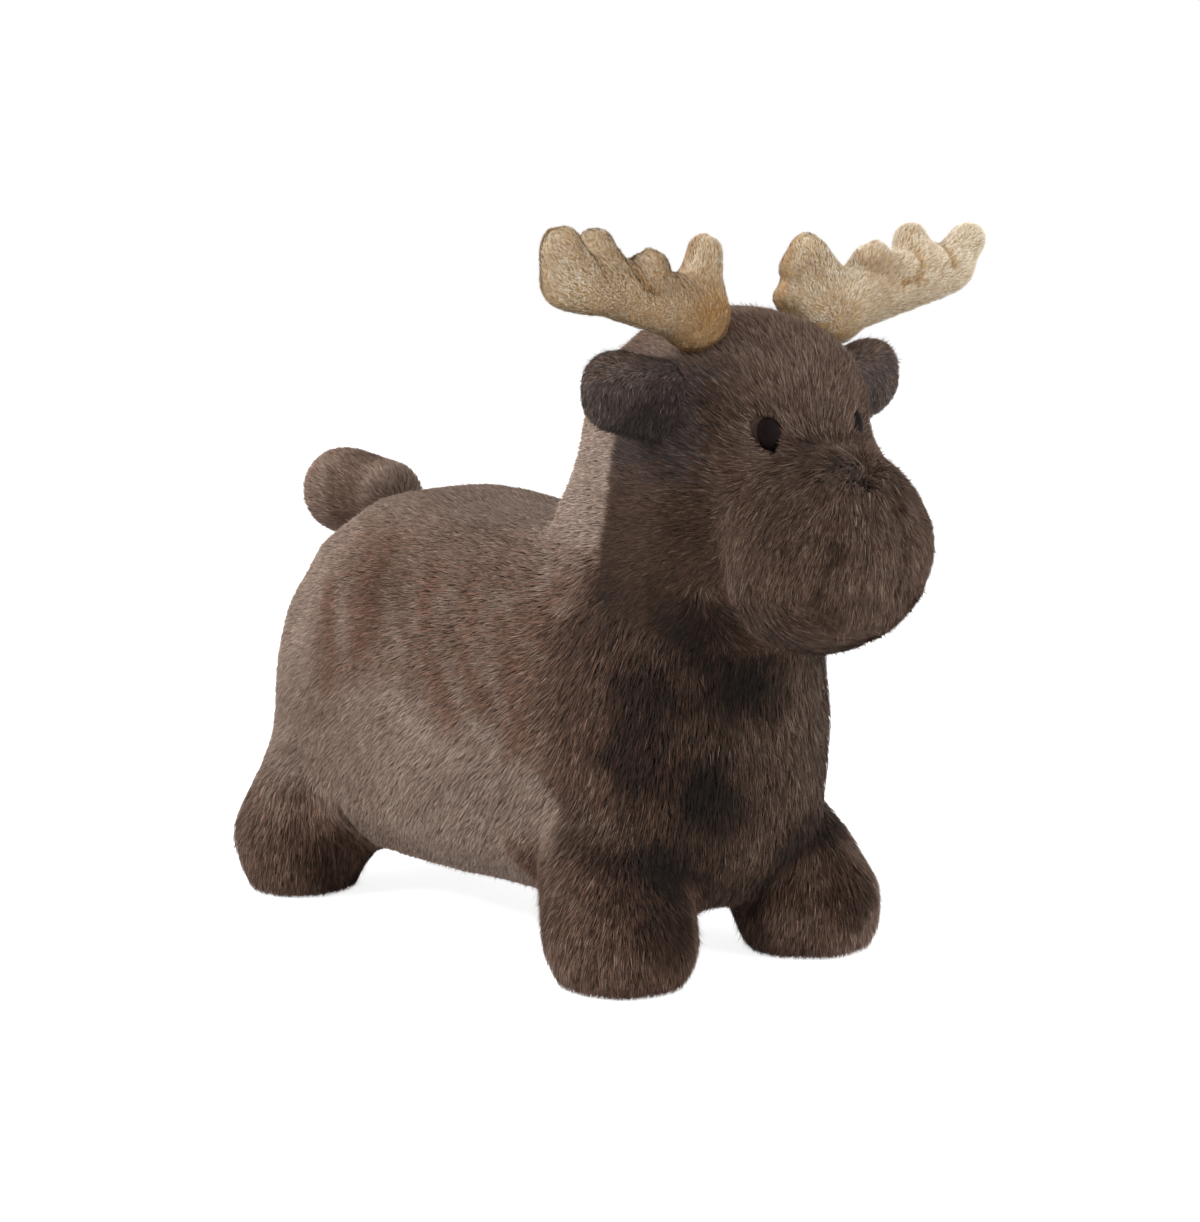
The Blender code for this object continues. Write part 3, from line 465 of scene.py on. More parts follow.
def lay_strands(name, roots, normals, flow, tone, yarn, length, shag, rng, width=None, lift=(36.0, 8.0)):
    """Kites that rise from their roots, bend over along the flow and draw together in tufts, as one mesh."""
    count = len(roots)
    big = rng.random(count) < shag
    flow = unit(flow - normals * (flow * normals).sum(1)[:, None])
    across = np.cross(normals, flow)
    turn = np.radians(5.0 * lumps(roots, 0.008, 3) + 5.0 * lumps(roots, 0.022, 4))
    turn += np.radians(7.0 + 4.0 * big) * rng.standard_normal(count)
    flow = flow * np.cos(turn)[:, None] + across * np.sin(turn)[:, None]
    stray = rng.random(count) < STRAY_SHARE
    first = np.radians(lift[0] + 4.0 * big + 5.0 * rng.standard_normal(count) + 4.0 * lumps(roots, 0.006, 5))
    last = np.radians(lift[1] + 4.0 * big + 5.0 * rng.standard_normal(count) + 24.0 * stray)
    size = length * (1.0 + 0.12 * rng.standard_normal(count).clip(-2.0, 2.0))
    low_part = flow * np.cos(first)[:, None] + normals * np.sin(first)[:, None]
    top_part = flow * np.cos(last)[:, None] + normals * np.sin(last)[:, None]
    bend = roots + low_part * (0.45 * size)[:, None]
    tip = bend + top_part * (0.55 * size)[:, None]
    across_tuft, pull, tuft_tone = np.where(big[:, None], SHAGGY_TUFT, SLEEK_TUFT).T
    spread = 0.3 * across_tuft[:, None] * rng.standard_normal((count, 3))
    cell = np.floor((roots + spread) / across_tuft[:, None]).astype(np.int64) @ [2, 8192, 33554432] + big
    tuft = np.unique(cell, return_inverse=True)[1]
    members = np.bincount(tuft)[:, None]
    tip_middle, root_middle = (
        np.stack([np.bincount(tuft, part[:, axis]) for axis in range(3)], 1) / members for part in (tip, roots)
    )
    off = np.linalg.norm(roots - root_middle[tuft], axis=1) / across_tuft
    tip += (pull * ~stray)[:, None] * (tip_middle[tuft] - tip)
    tone = tone + tuft_tone * rng.standard_normal(len(members))[tuft]
    tone = tone + HAIR_TONE * (0.7 + 0.3 * big) * rng.standard_normal(count)
    tone = tone + TUFT_EDGE_SHADE * (0.35 - off).clip(-0.6, 0.35) * (0.5 + 0.5 * big)
    roll = np.radians(15.0) * rng.standard_normal(count)
    side = unit(np.cross(top_part, normals))
    lean = np.cross(side, top_part)
    width = width or np.where(big, SHAGGY_WIDTH, SLEEK_WIDTH)
    half = (side * np.cos(roll)[:, None] + lean * np.sin(roll)[:, None]) * (width / 2 * (1.0 - 0.4 * stray))[:, None]
    verts = np.stack([roots, bend - half, bend + half, tip], 1)
    np.maximum(verts[:, :, 2], 0.0002, out=verts[:, :, 2])
    mesh = bpy.data.meshes.new(name)
    mesh.vertices.add(count * 4)
    mesh.vertices.foreach_set("co", verts.astype(np.float32).ravel())
    mesh.loops.add(count * 6)
    mesh.polygons.add(count * 2)
    loops = np.array([0, 2, 1, 1, 2, 3])[None, :] + 4 * np.arange(count)[:, None]
    mesh.loops.foreach_set("vertex_index", loops.astype(np.int32).ravel())
    mesh.polygons.foreach_set("loop_start", (3 * np.arange(count * 2)).astype(np.int32))
    mesh.update(calc_edges=True)
    uv = np.empty((count, 6, 2), np.float32)
    edge = 0.004 * np.array([0, 1, -1, -1, 1, 0])
    reach = np.array([0.02, 0.45, 0.45, 0.45, 0.45, 0.98])
    uv[:, :, 0] = np.clip(tone, 0.01, 0.99)[:, None] + edge
    uv[:, :, 1] = (yarn[:, None] + reach) / YARN_ROWS
    layer = mesh.uv_layers.new(name="OFBake")
    layer.data.foreach_set("uv", uv.ravel())
    obj = bpy.data.objects.new(name, mesh)
    bpy.context.scene.collection.objects.link(obj)
    return obj


def finish_pile(obj, material, nodes):
    """Give a piece of pile its material, and let it stand for its CAD nodes."""
    obj.data.materials.append(material)
    obj.data.shade_smooth()
    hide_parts(*nodes)


def from_line(across, up, line):
    """How far each place (across, up) lies from a line of such places."""
    nearest = np.full(len(across), np.inf)
    for (x0, z0), (x1, z1) in zip(line, line[1:]):
        dx, dz = x1 - x0, z1 - z0
        part = np.clip(((across - x0) * dx + (up - z0) * dz) / (dx * dx + dz * dz), 0.0, 1.0)
        nearest = np.minimum(nearest, np.hypot(across - x0 - part * dx, up - z0 - part * dz))
    return nearest


def seam_places(points):
    """How far each point is above the neck seam, and how far ahead of the nape seam."""
    y, z = (points - NECK_SEAM)[:, 1:].T
    above = z * math.cos(NECK_SEAM_TILT) - y * math.sin(NECK_SEAM_TILT)
    ahead = -y * math.cos(NAPE_SEAM_LEAN) - z * math.sin(NAPE_SEAM_LEAN)
    crown = 0.05 * ease(points[:, 2], 0.322, 0.378) * ease(points[:, 1], -0.080, -0.115)
    return above, ahead + crown


def head_share(points):
    """1 on the head's panels, 0 on the body cover, and a soft change where the piles overlap at the seams."""
    return ease(np.minimum(*seam_places(points)) + 0.0016 * lumps(points, 0.005, 42), -0.003, 0.005)


def muzzle_share(points):
    """1 on the muzzle, 0 on the head, and a soft change where the two piles run together."""
    reach = (np.abs((points - MUZZLE_MIDDLE) / MUZZLE_HALF) ** 2.4).sum(1)
    return ease(reach, 1.45, 0.95) * ease(points[:, 1], -0.196, -0.216)


def snout_share(points):
    """1 on the muzzle and on the jaw that carries it."""
    jaw = jaw_share(points) * ease(points[:, 2], 0.200, 0.208) * ease(points[:, 1], -0.172, -0.192)
    return np.maximum(muzzle_share(points), jaw)


def jaw_share(points):
    """1 on the jaw, below the muzzle's lower edge, which climbs from the chin towards the cheek."""
    x, y, z = points.T
    edge = 0.224 + 0.020 * ease(np.abs(x), 0.018, 0.052)
    return ease(z, edge + 0.004, edge - 0.004) * ease(y, -0.150, -0.185)


def leg_share(points):
    """1 on a leg, 0 on the body, with a soft change where the leg's tube meets it."""
    x, y, z = points.T
    foot_y = np.where(y < 0.03, FRONT_FOOT[1], REAR_FOOT[1])
    hip_y = np.where(y < 0.03, -0.100, 0.171)
    along = np.clip(z / 0.09, 0, 1)
    near = ease(np.abs(y - (foot_y * (1 - along) + hip_y * along)), 0.062, 0.048)
    return ease(z, LEG_SEAM_Z + 0.012, LEG_SEAM_Z - 0.010) * near * ease(np.abs(x), 0.022, 0.034)


def body_flow(points):
    """Back and down along the flank, straight down on the chest, and back along the nape."""
    x, y, z = points.T
    low = ease(z, 0.235, 0.06)
    flow = np.stack([0 * x, 1.0 + 0 * x, -(0.16 + 1.3 * low)], 1)
    chest = (ease(y, -0.05, -0.13) * ease(z, 0.255, 0.225))[:, None]
    return flow * (1 - chest) + np.array([0.0, 0.2, -1.0]) * chest


def leg_flow(points):
    x, y, z = points.T
    foot_x = np.where(x < 0, -1, 1) * np.where(y < 0.03, FRONT_FOOT[0], REAR_FOOT[0])
    foot_y = np.where(y < 0.03, FRONT_FOOT[1], REAR_FOOT[1])
    return np.stack([(x - foot_x) * 8.0, (y - foot_y) * 8.0 + 0.1, 0 * x - 1.0], 1)


def muzzle_flow(points):
    """Out from the tousled crown of the nose, down over the front, and forward along the jaw to the chin."""
    away = points - MUZZLE_CROWN
    tousled = ease(np.linalg.norm(away, axis=1), 0.042, 0.012)[:, None]
    ruffle = np.stack([lumps(points, 0.006, seed) for seed in (51, 52, 53)], 1)
    out = unit(away * [1.0, 0.5, 1.0]) * (1 - 0.5 * tousled) + 1.1 * ruffle * tousled
    down = ease(points[:, 2], 0.318, 0.285)[:, None]
    flow = out + np.array([0.0, 0.0, -1.1]) * down
    jaw = jaw_share(points)[:, None]
    inward = np.stack([-np.sign(points[:, 0]) * 0.35, 0 * points[:, 0] - 1.0, 0 * points[:, 0] - 0.55], 1)
    return unit(flow) * (1 - jaw) + inward * jaw


def pile_flow(points):
    head = head_share(points)[:, None]
    flow = unit(points - BRIDGE) * head + unit(body_flow(points)) * (1 - head)
    leg, nose = leg_share(points)[:, None], snout_share(points)[:, None]
    flow = flow * (1 - leg) + unit(leg_flow(points)) * leg
    return flow * (1 - nose) + unit(muzzle_flow(points)) * nose


# Folds brushed into the flank's pile, as lines of (y, z): pale ridges, painted light where the pressed
# pile catches it, and reddish hollows with their half widths, painted darker as shade, between the saddle
# and the belly
PALE_FOLDS = (
    ((0.120, 0.210), (0.101, 0.178)),
    ((0.072, 0.219), (0.056, 0.199), (0.042, 0.179)),
    ((0.045, 0.215), (0.024, 0.196), (0.000, 0.178), (-0.014, 0.155), (-0.030, 0.139), (-0.050, 0.138)),
    ((0.006, 0.213), (-0.019, 0.192), (-0.040, 0.173), (-0.052, 0.157)),
    ((-0.036, 0.223), (-0.058, 0.205), (-0.077, 0.189)),
    ((-0.056, 0.242), (-0.070, 0.229)),
    ((-0.093, 0.223), (-0.117, 0.197)),
)
RED_HOLLOWS = (
    (0.010, ((0.130, 0.206), (0.118, 0.176), (0.114, 0.150))),
    (0.019, ((0.090, 0.226), (0.088, 0.205), (0.083, 0.184))),
    (0.010, ((0.030, 0.226), (0.024, 0.205), (0.012, 0.183), (0.002, 0.159), (-0.013, 0.143))),
    (0.012, ((-0.010, 0.215), (-0.020, 0.188), (-0.041, 0.158))),
    (0.019, ((-0.060, 0.205), (-0.064, 0.170), (-0.066, 0.145))),
    (0.010, ((-0.084, 0.226), (-0.080, 0.205))),
)

# Places where the pile has parted and shows its dark ground, and painted shade under the jaw, on the chest and in
# the creases round the legs
DARK_TUFTS_AND_SHADE = (
    ((0.069, -0.152, 0.171), 0.026, -0.22),
    ((0.072, -0.150, 0.137), 0.028, -0.22),
    ((0.090, -0.125, 0.150), 0.024, -0.10),
    ((-0.020, -0.185, 0.184), 0.026, -0.36),
    ((0.047, -0.181, 0.212), 0.028, -0.28),
    ((0.069, -0.151, 0.186), 0.020, -0.14),
    ((0.066, -0.155, 0.098), 0.036, -0.08),
    ((-0.045, -0.174, 0.126), 0.020, -0.14),
    ((-0.036, -0.177, 0.114), 0.022, -0.28),
    ((-0.018, -0.178, 0.100), 0.018, -0.12),
    ((-0.056, -0.160, 0.073), 0.019, -0.30),
    ((-0.082, -0.160, 0.070), 0.020, -0.12),
    ((-0.040, -0.176, 0.136), 0.018, -0.16),
    ((-0.074, -0.147, 0.135), 0.018, -0.12),
    ((-0.066, -0.155, 0.088), 0.015, -0.16),
    ((0.008, -0.159, 0.055), 0.020, -0.10),
    ((0.088, 0.142, 0.030), 0.030, -0.16),
    ((0.074, -0.172, 0.334), 0.020, -0.06),
    ((-0.030, -0.276, 0.270), 0.007, -0.20),
    ((-0.034, -0.275, 0.258), 0.008, -0.26),
    ((-0.037, -0.272, 0.246), 0.007, -0.20),
    ((0.042, -0.250, 0.284), 0.026, -0.08),
    ((0.033, -0.271, 0.235), 0.020, -0.18),
    ((0.092, 0.068, 0.212), 0.030, -0.12),
    ((-0.001, -0.184, 0.180), 0.024, -0.20),
    ((0.046, -0.204, 0.346), 0.022, -0.06),
)


def cover_tone(points, normals):
    """How light each strand is from 0 to 1, how likely it is of the red yarn or of the cool copy painted bluish
    light, and how shaggy.
    """
    x, y, z = points.T
    wide = np.abs(x)
    ragged = points + 0.006 * np.stack([lumps(points, 0.013, seed) for seed in (35, 36, 37)], 1)
    # Dark partings, and painted shade under the jaw, on the chest and round the legs
    parted_and_shaded = spots(ragged, DARK_TUFTS_AND_SHADE)
    floor_z = np.interp(
        y, [-0.10, -0.067, -0.035, 0.0, 0.05, 0.118, 0.15], [0.122, 0.130, 0.136, 0.145, 0.160, 0.145, 0.145]
    )
    zone = ease(z, floor_z - 0.012, floor_z + 0.014) * ease(z, 0.262, 0.240) * ease(y, 0.160, 0.115)
    zone = zone * ease(y, -0.120, -0.090) * ease(np.abs(normals[:, 0]), 0.15, 0.5)
    wander = points + 0.005 * np.stack([0 * x, lumps(points, 0.016, 31), lumps(points, 0.016, 32)], 1)
    pale = sum(ease(from_line(wander[:, 1], wander[:, 2], line), 0.009, 0.001) for line in PALE_FOLDS).clip(0, 1)
    hollow = sum(
        ease(from_line(wander[:, 1], wander[:, 2], line) / half, 1.2, 0.2) for half, line in RED_HOLLOWS
    ).clip(0, 1)
    side_on = ease(np.abs(normals[:, 0]), 0.25, 0.6)
    # On the sides facing outward: pale folds painted light, reddish hollows painted darker as shade
    flank = 0.730 - 0.120 * zone + (0.060 * pale - 0.060 * hollow) * side_on
    flank += (
        0.02 * ease(y, 0.13, 0.18) - 0.04 * ease(z, 0.07, 0.045) - 0.06 * ease(y, 0.03, 0.09) * ease(z, 0.17, 0.13)
    )
    flank -= 0.075 * ease(z, 0.240, 0.262) * ease(y, -0.04, 0.0)
    flank += 0.035 * lumps(points, 0.026, 14) + 0.025 * lumps(points, 0.011, 13)
    red = (0.30 * zone + 0.40 * hollow * side_on - 0.25 * pale).clip(0, 1)
    # The chest: darker beside its middle, with painted light on its outer edges low down and over its far side
    chest = 0.42 - 0.09 * ease(wide, 0.010, 0.034) + 0.12 * ease(wide, 0.055, 0.080) * ease(z, 0.215, 0.180)
    chest = chest + 0.18 * ease(x, 0.000, 0.030) * ease(z, 0.080, 0.105) + 0.05 * lumps(points, 0.022, 15)
    rear_edge = -0.092 + 0.036 * ease(z, 0.100, 0.140) * ease(z, 0.228, 0.195) + 0.005 * lumps(points, 0.012, 41)
    front = ease(y, rear_edge, np.minimum(rear_edge - 0.024, -0.106)) * ease(z, 0.262, 0.238)
    # The flank's light tone and the chest's dark one are partly the pile's own, partly painted light on the flanks
    # and painted shade on the chest
    tone = flank + (chest - flank) * front
    red = red + (0.40 * ease(wide, 0.045, 0.075) * ease(z, 0.09, 0.13) - red) * front
    # Painted light along the top of the nape
    tone = tone + 0.035 * ease(z, 0.245, 0.275) * (1 - front) * ease(y, 0.0, -0.03)
    ahead = seam_places(points)[1]
    # The brow: darker on the cheeks, and painted shade low on the head where it folds over the chest
    brow = 0.585 - 0.19 * ease(wide, 0.034, 0.060) - 0.06 * ease(z, 0.300, 0.270) - 0.10 * ease(z, 0.255, 0.228)
    brow = brow + 0.03 * lumps(points, 0.03, 16)
    brow = brow - 0.04 * ease(ahead, 0.030, 0.004) + 0.13 * ease(z, 0.335, 0.365) * ease(wide, 0.03, 0.055)
    # A cool cast on the temples, painted bluish light
    cool_light = 0.75 * ease(y, -0.212, -0.185) * ease(z, 0.285, 0.315) * ease(z, 0.375, 0.350)
    head = head_share(points)
    tone = tone + (brow - tone) * head
    red = red + (0.10 - red) * head
    cool_light = cool_light * head
    shag = front + (0.6 * ease(y, -0.165, -0.200) - front) * head
    leg = leg_share(points)
    outward = normals[:, 0] * np.sign(x)
    # Painted light on the legs' outward sides, over the far front leg and low on the near front leg's inner side
    limb = 0.40 + 0.06 * ease(z, 0.055, 0.02) + 0.10 * ease(outward, 0.4, 0.9)
    limb = limb + 0.05 * lumps(points, 0.020, 17) + (0.14 + 0.13 * ease(x, 0.050, 0.080)) * (
        ease(x, 0.0, 0.03) * ease(y, 0.0, -0.03)
    )
    limb = limb + 0.10 * ease(outward, -0.1, -0.6) * ease(z, 0.060, 0.040) * ease(y, 0.0, -0.03) * (x < 0)
    limb = limb + (0.66 - limb) * ease(y, 0.10, 0.14) * ease(z, 0.045, 0.075) * ease(wide, 0.05, 0.08)
    # Painted shade in the crease where a leg meets the body, facing forward
    tone = tone + (limb - tone) * leg - 0.80 * leg * (1 - leg) * ease(normals[:, 1], -0.1, -0.5)
    # Painted shade in the gap between the far front leg and the chest
    gap = ease(x, 0.012, 0.026) * ease(x, 0.056, 0.040) * ease(z, 0.112, 0.090) * ease(z, 0.030, 0.048)
    tone = tone - 0.17 * gap * ease(y, -0.10, -0.13)
    red = red + (0.35 - red) * leg
    shag = np.maximum(shag, leg)
    nose = snout_share(points)
    jaw = jaw_share(points)
    snout = 0.52 - 0.06 * ease(z, 0.290, 0.304) * ease(wide, 0.048, 0.025)
    # Painted light over the muzzle's far side, and painted shade along its lower edge above the jaw
    snout = snout + 0.05 * ease(x, 0.015, 0.040) - 0.08 * ease(wide, 0.040, 0.056)
    snout = snout + 0.02 * jaw - 0.20 * jaw * (1 - jaw)
    tone = tone + (snout - tone) * nose
    cool_light = cool_light * (1 - nose)
    shag = np.maximum(shag, nose)
    return tone + parted_and_shaded, red, cool_light, shag


def yarn_of(red, cool_light, rng):
    """Pick each strand's yarn by how likely the red yarn is and how likely the cool copy, painted bluish light, is.
    """
    draw = rng.random(len(red))
    return np.where(draw < red, RED, np.where(draw > 1.0 - cool_light, COOL_LIGHT, PLAIN))


# The smooth form that the roots lie on takes in the muzzle, with the hollow round it filled by the pile,
# so that the fur runs on from cheek to muzzle
bridge_points = node_points(*HEAD_PANELS)
bridge_points = bridge_points[(bridge_points[:, 1] < -0.192) & (np.abs(bridge_points[:, 2] - 0.272) < 0.050)]
muzzle_rear = node_points(*MUZZLE_PANELS)
muzzle_rear = muzzle_rear[muzzle_rear[:, 1] > -0.238]
jaw_points = node_points("body_cover_left", "body_cover_right", *HEAD_PANELS)
jaw_points = jaw_points[(jaw_points[:, 1] < -0.160) & (np.abs(jaw_points[:, 2] - 0.236) < 0.024)]
chin_points = node_points(*MUZZLE_PANELS)
chin_points = chin_points[(chin_points[:, 2] < 0.232) & (chin_points[:, 1] > -0.256)]
guide_hulls = [np.concatenate(part) for part in ([bridge_points, muzzle_rear], [jaw_points, chin_points])]
guide = cover_skin("fur_guide", MUZZLE_PANELS + ["muzzle_filling"], guide_hulls, COVER_STEPS)
guide_skin = Skin(guide)
bpy.data.objects.remove(guide, do_unlink=True)
middles = guide_skin.middle
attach(cover, "body")
cover_shade = cover_tone(points_of(cover), normals_of(cover))[0]
finish_skin(cover, "cover_backing", backing, cover_nodes, cover_shade)

# Partings in the muzzle's pile, as (x, z): where its seams draw the fur in
MUZZLE_PARTINGS = (
    ((-0.031, 0.276), (-0.035, 0.258), (-0.041, 0.233)),
    ((0.008, 0.294), (0.0125, 0.262), (0.0085, 0.234)),
)


def grow(name, nodes, count, where, seed):
    """Lay pile over part of the guide, with bare places for the eyes, the zip and the valve."""
    rng = np.random.default_rng(seed)
    roots, normals = guide_skin.strew(count, where, rng)
    tone, red, cool_light, shag = cover_tone(roots, normals)
    tone = tone + (0.015 + 0.02 * shag) * (lumps(roots, 0.005, 7) + lumps(roots, 0.016, 8))
    flow = pile_flow(roots)
    nose = snout_share(roots)
    size = SLEEK_LENGTH + (SHAGGY_LENGTH - SLEEK_LENGTH) * shag
    size = size * (1.0 - 0.6 * ease(roots[:, 2], 0.012, 0.002))
    for line in MUZZLE_PARTINGS:
        gap = from_line(roots[:, 0] + 0.0022 * lumps(roots, 0.009, 33), roots[:, 2], line)
        close = ease(gap, 0.0036, 0.0005) * nose * (roots[:, 1] < -0.23)
        close = close * (0.65 + 0.35 * lumps(roots, 0.012, 34))
        tone = tone - 0.20 * close
        size = size * (1.0 - 0.25 * close)
    mirror = np.where(roots[:, :1] < 0, [[-1.0, 1.0, 1.0]], [[1.0, 1.0, 1.0]])
    from_eye = roots * mirror - EYE
    sideways = from_eye[:, 0] * math.cos(EYE_TILT) - from_eye[:, 2] * math.sin(EYE_TILT)
    upwards = from_eye[:, 0] * math.sin(EYE_TILT) + from_eye[:, 2] * math.cos(EYE_TILT)
    across, deep, high = EYE_OPENING
    gap = np.sqrt((sideways / across) ** 2 + (upwards / high) ** 2 + (from_eye[:, 1] / deep) ** 2)
    near_eye = ease(gap, 1.7, 1.0)
    flow = flow + unit(from_eye) * mirror * near_eye[:, None] * 0.9
    size = size * (1.0 - 0.45 * near_eye)
    zipped = (np.abs(roots[:, 0]) < 0.0165) & (roots[:, 1] > -0.039) & (roots[:, 1] < 0.063)
    valve = np.hypot(roots[:, 0], roots[:, 1] - 0.098) < 0.0115
    keep = (gap > 1.0) & ~((zipped | valve) & (roots[:, 2] < 0.05))
    yarn = yarn_of(red, cool_light, rng)
    pile = lay_strands(name, *(part[keep] for part in (roots, normals, flow, tone, yarn, size, shag)), rng)
    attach(pile, "body")
    finish_pile(pile, fur, nodes)


mid_leg = leg_share(middles) > 0.5
mid_nose = (snout_share(middles) > 0.5) & ~mid_leg
mid_head = (head_share(middles) > 0.5) & ~mid_leg & ~mid_nose
mid_body = ~mid_leg & ~mid_head & ~mid_nose
rear = middles[:, 1] > 0.06
for index, (side, sign) in enumerate(SIDES):
    here = middles[:, 0] * sign > 0
    seed = 100 + 10 * index
    grow("fur_rump_" + side, ["body_cover_" + side], RUMP_STRANDS, mid_body & here & rear, seed)
    grow("fur_flank_" + side, ["body_cover_" + side], FLANK_STRANDS, mid_body & here & ~rear, seed + 1)
    nodes = ["head_side_" + side, "head_gusset"]
    grow("fur_head_" + side, nodes, HEAD_STRANDS, mid_head & here, seed + 2)
    nodes = ["muzzle_side_" + side, "muzzle_gusset"]
    grow("fur_muzzle_" + side, nodes, MUZZLE_STRANDS, mid_nose & here, seed + 3)
    for place, there in (("front", middles[:, 1] < 0.03), ("rear", middles[:, 1] > 0.03)):
        nodes = [f"leg_{place}_{side}", f"sole_{place}_{side}"]
        seed += 5
        grow(f"fur_leg_{place}_{side}", nodes, LEG_STRANDS, mid_leg & here & there, seed)


# Muzzle
# A firm stuffed dome of three fur panels on the front of the head, drawn in a little along its seams. Its
# pile is laid with the head's, so that the two run together.
muzzle = closed_skin("muzzle_backing", MUZZLE_PANELS + ["muzzle_filling"], [], 0.0028)
relax(muzzle, 8)
muzzle_x, muzzle_y, muzzle_z = points_of(muzzle).T
drawn_in = sum(ease(from_line(muzzle_x, muzzle_z, line), 0.005, 0.0) for line in MUZZLE_PARTINGS)
slimmer = spots(points_of(muzzle), FULLNESS).clip(-0.003, 0.0)
sink(muzzle, PILE_DEPTH + 0.001 + 0.002 * drawn_in * (muzzle_y < -0.22) - slimmer)
relax(muzzle, 2)
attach(muzzle, "body")
finish_skin(muzzle, "muzzle_backing", backing, MUZZLE_PANELS, 0.40 - 0.15 * drawn_in)


# Ears
# Two thick, floppy flaps of the same fur on both faces, hardly stuffed. Each is sewn by a broad base into
# the side of the head, where its pile runs on into the head's, and its lower edge hangs in a fringe.
EAR_ROOT = np.array([0.0808, -0.1614, 0.3509])
EAR_PILE = 0.0036
EAR_BASE = (0.057, -0.168, 0.3420)
EAR_BASE_HALF = (0.020, 0.0235)
EAR_STRANDS = 31000


def stuff(cover_skin_of, depth, name, nodes):
    """Stuffing that fills a cover, a little inside it."""
    stuffing = cover_skin_of.copy()
    stuffing.data = cover_skin_of.data.copy()
    bpy.context.scene.collection.objects.link(stuffing)
    sink(stuffing, depth)
    finish_skin(stuffing, name, fibrefill, nodes, 1.0)
    return stuffing


for index, (side, sign) in enumerate(SIDES):
    nodes = [f"ear_{layer}_{side}" for layer in ("front", "back", "filling")]
    turns = np.linspace(0.0, 2.0 * math.pi, 24, endpoint=False)
    base = np.stack([
        np.full(24, sign * EAR_BASE[0]),
        EAR_BASE[1] + EAR_BASE_HALF[0] * np.cos(turns),
        EAR_BASE[2] + EAR_BASE_HALF[1] * np.sin(turns),
    ], 1)
    flap = node_points(*nodes[:2])
    flap = flap[(flap[:, 0] * sign > 0.088) & (flap[:, 0] * sign < 0.102)]
    ear = closed_skin("ear_backing_" + side, nodes, [np.concatenate([base, flap])], 0.002)
    relax(ear, 12)
    points = points_of(ear)
    hollow = ease(points[:, 1], EAR_ROOT[1] - 0.004, EAR_ROOT[1] - 0.010)
    hollow = hollow * ease(np.hypot(points[:, 0] * sign - 0.086, points[:, 2] - 0.338), 0.018, 0.004)
    sink(ear, EAR_PILE + 0.0035 * hollow)
    relax(ear, 2)
    rng = np.random.default_rng(301 + index)
    skin = Skin(ear)
    roots, normals = skin.strew(EAR_STRANDS, skin.middle[:, 0] * sign > 0.052, rng)
    out, y, z = roots[:, 0] * sign, roots[:, 1], roots[:, 2]
    drop = ease(z, 0.368, 0.350)
    flow = np.stack([sign * (0.8 - 0.5 * drop), 0 * out, 0.5 - 1.5 * drop], 1)
    # Painted shade in the hollow at the ear's lower base; painted light on the near ear's top, over the far ear and
    # along the outer edges; the cool copy, painted bluish light, on the lower ear
    hollow_shade = ease(np.hypot(out - 0.080, z - 0.336), 0.024, 0.008) * (y < EAR_ROOT[1])
    tone = 0.45 - 0.15 * hollow_shade + (0.18 if sign < 0 else -0.02) * ease(z, 0.350, 0.368) + 0.13 * (sign > 0)
    tone = tone + 0.05 * ease(out, 0.105, 0.118) * (z > 0.34) + 0.04 * lumps(roots, 0.006, 7)
    size = SLEEK_LENGTH * (1.0 + 0.4 * ease(z, 0.336, 0.326))
    yarn = yarn_of(np.full(len(roots), 0.05), 0.75 - 0.6 * ease(z, 0.356, 0.371), rng)
    pile = lay_strands("fur_ear_" + side, roots, normals, flow, tone, yarn, size, 0.35 + 0 * z, rng)
    finish_pile(pile, fur, nodes[:2])
    stuffing = stuff(ear, 0.0015, "ear_stuffing_" + side, nodes[2:])
    finish_skin(ear, "ear_backing_" + side, backing, nodes[:2], 0.25)
    for piece in (pile, stuffing, ear):
        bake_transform(piece)


# Tail
# A short, fat, stuffed tail of the same fur as the back, sewn from a left and a right panel. It flexes
# where it is sewn to the rump, and its pile stands out all round from its middle.
TAIL_CENTRE = np.array([0.0, 0.168, 0.232])
TAIL_STRANDS = 32000
tail_nodes = ["tail_cover_left", "tail_cover_right"]
tail = closed_skin("tail_backing", tail_nodes + ["tail_filling"], [], 0.0022)
relax(tail, 10)
sink(tail, PILE_DEPTH - 0.001)
relax(tail, 3)
rng = np.random.default_rng(401)
skin = Skin(tail)
roots, normals = skin.strew(TAIL_STRANDS, np.ones(len(skin.area)), rng)
# Painted light on the tail's underside near the rump and over its root end, and painted shade in a band round its
# middle
under = ease(normals[:, 2], 0.2, -0.6) * ease(roots[:, 1], 0.262, 0.225)
tone = 0.67 + 0.05 * under - 0.15 * ease(np.abs(roots[:, 1] - 0.217), 0.022, 0.008)
tone = tone + 0.08 * ease(roots[:, 1], 0.200, 0.188)
tone = tone + 0.03 * lumps(roots, 0.005, 7) + 0.03 * lumps(roots, 0.016, 8)
yarn = yarn_of(0.15 + 0.3 * under, 0 * tone, rng)
size = np.full(len(roots), SLEEK_LENGTH)
pile = lay_strands("fur_tail", roots, normals, roots - TAIL_CENTRE, tone, yarn, size, 0.3 + 0 * tone, rng)
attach(pile, "tail")
finish_pile(pile, fur, tail_nodes)
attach(tail, "tail")
finish_skin(tail, "tail_backing", backing, tail_nodes, 0.5)


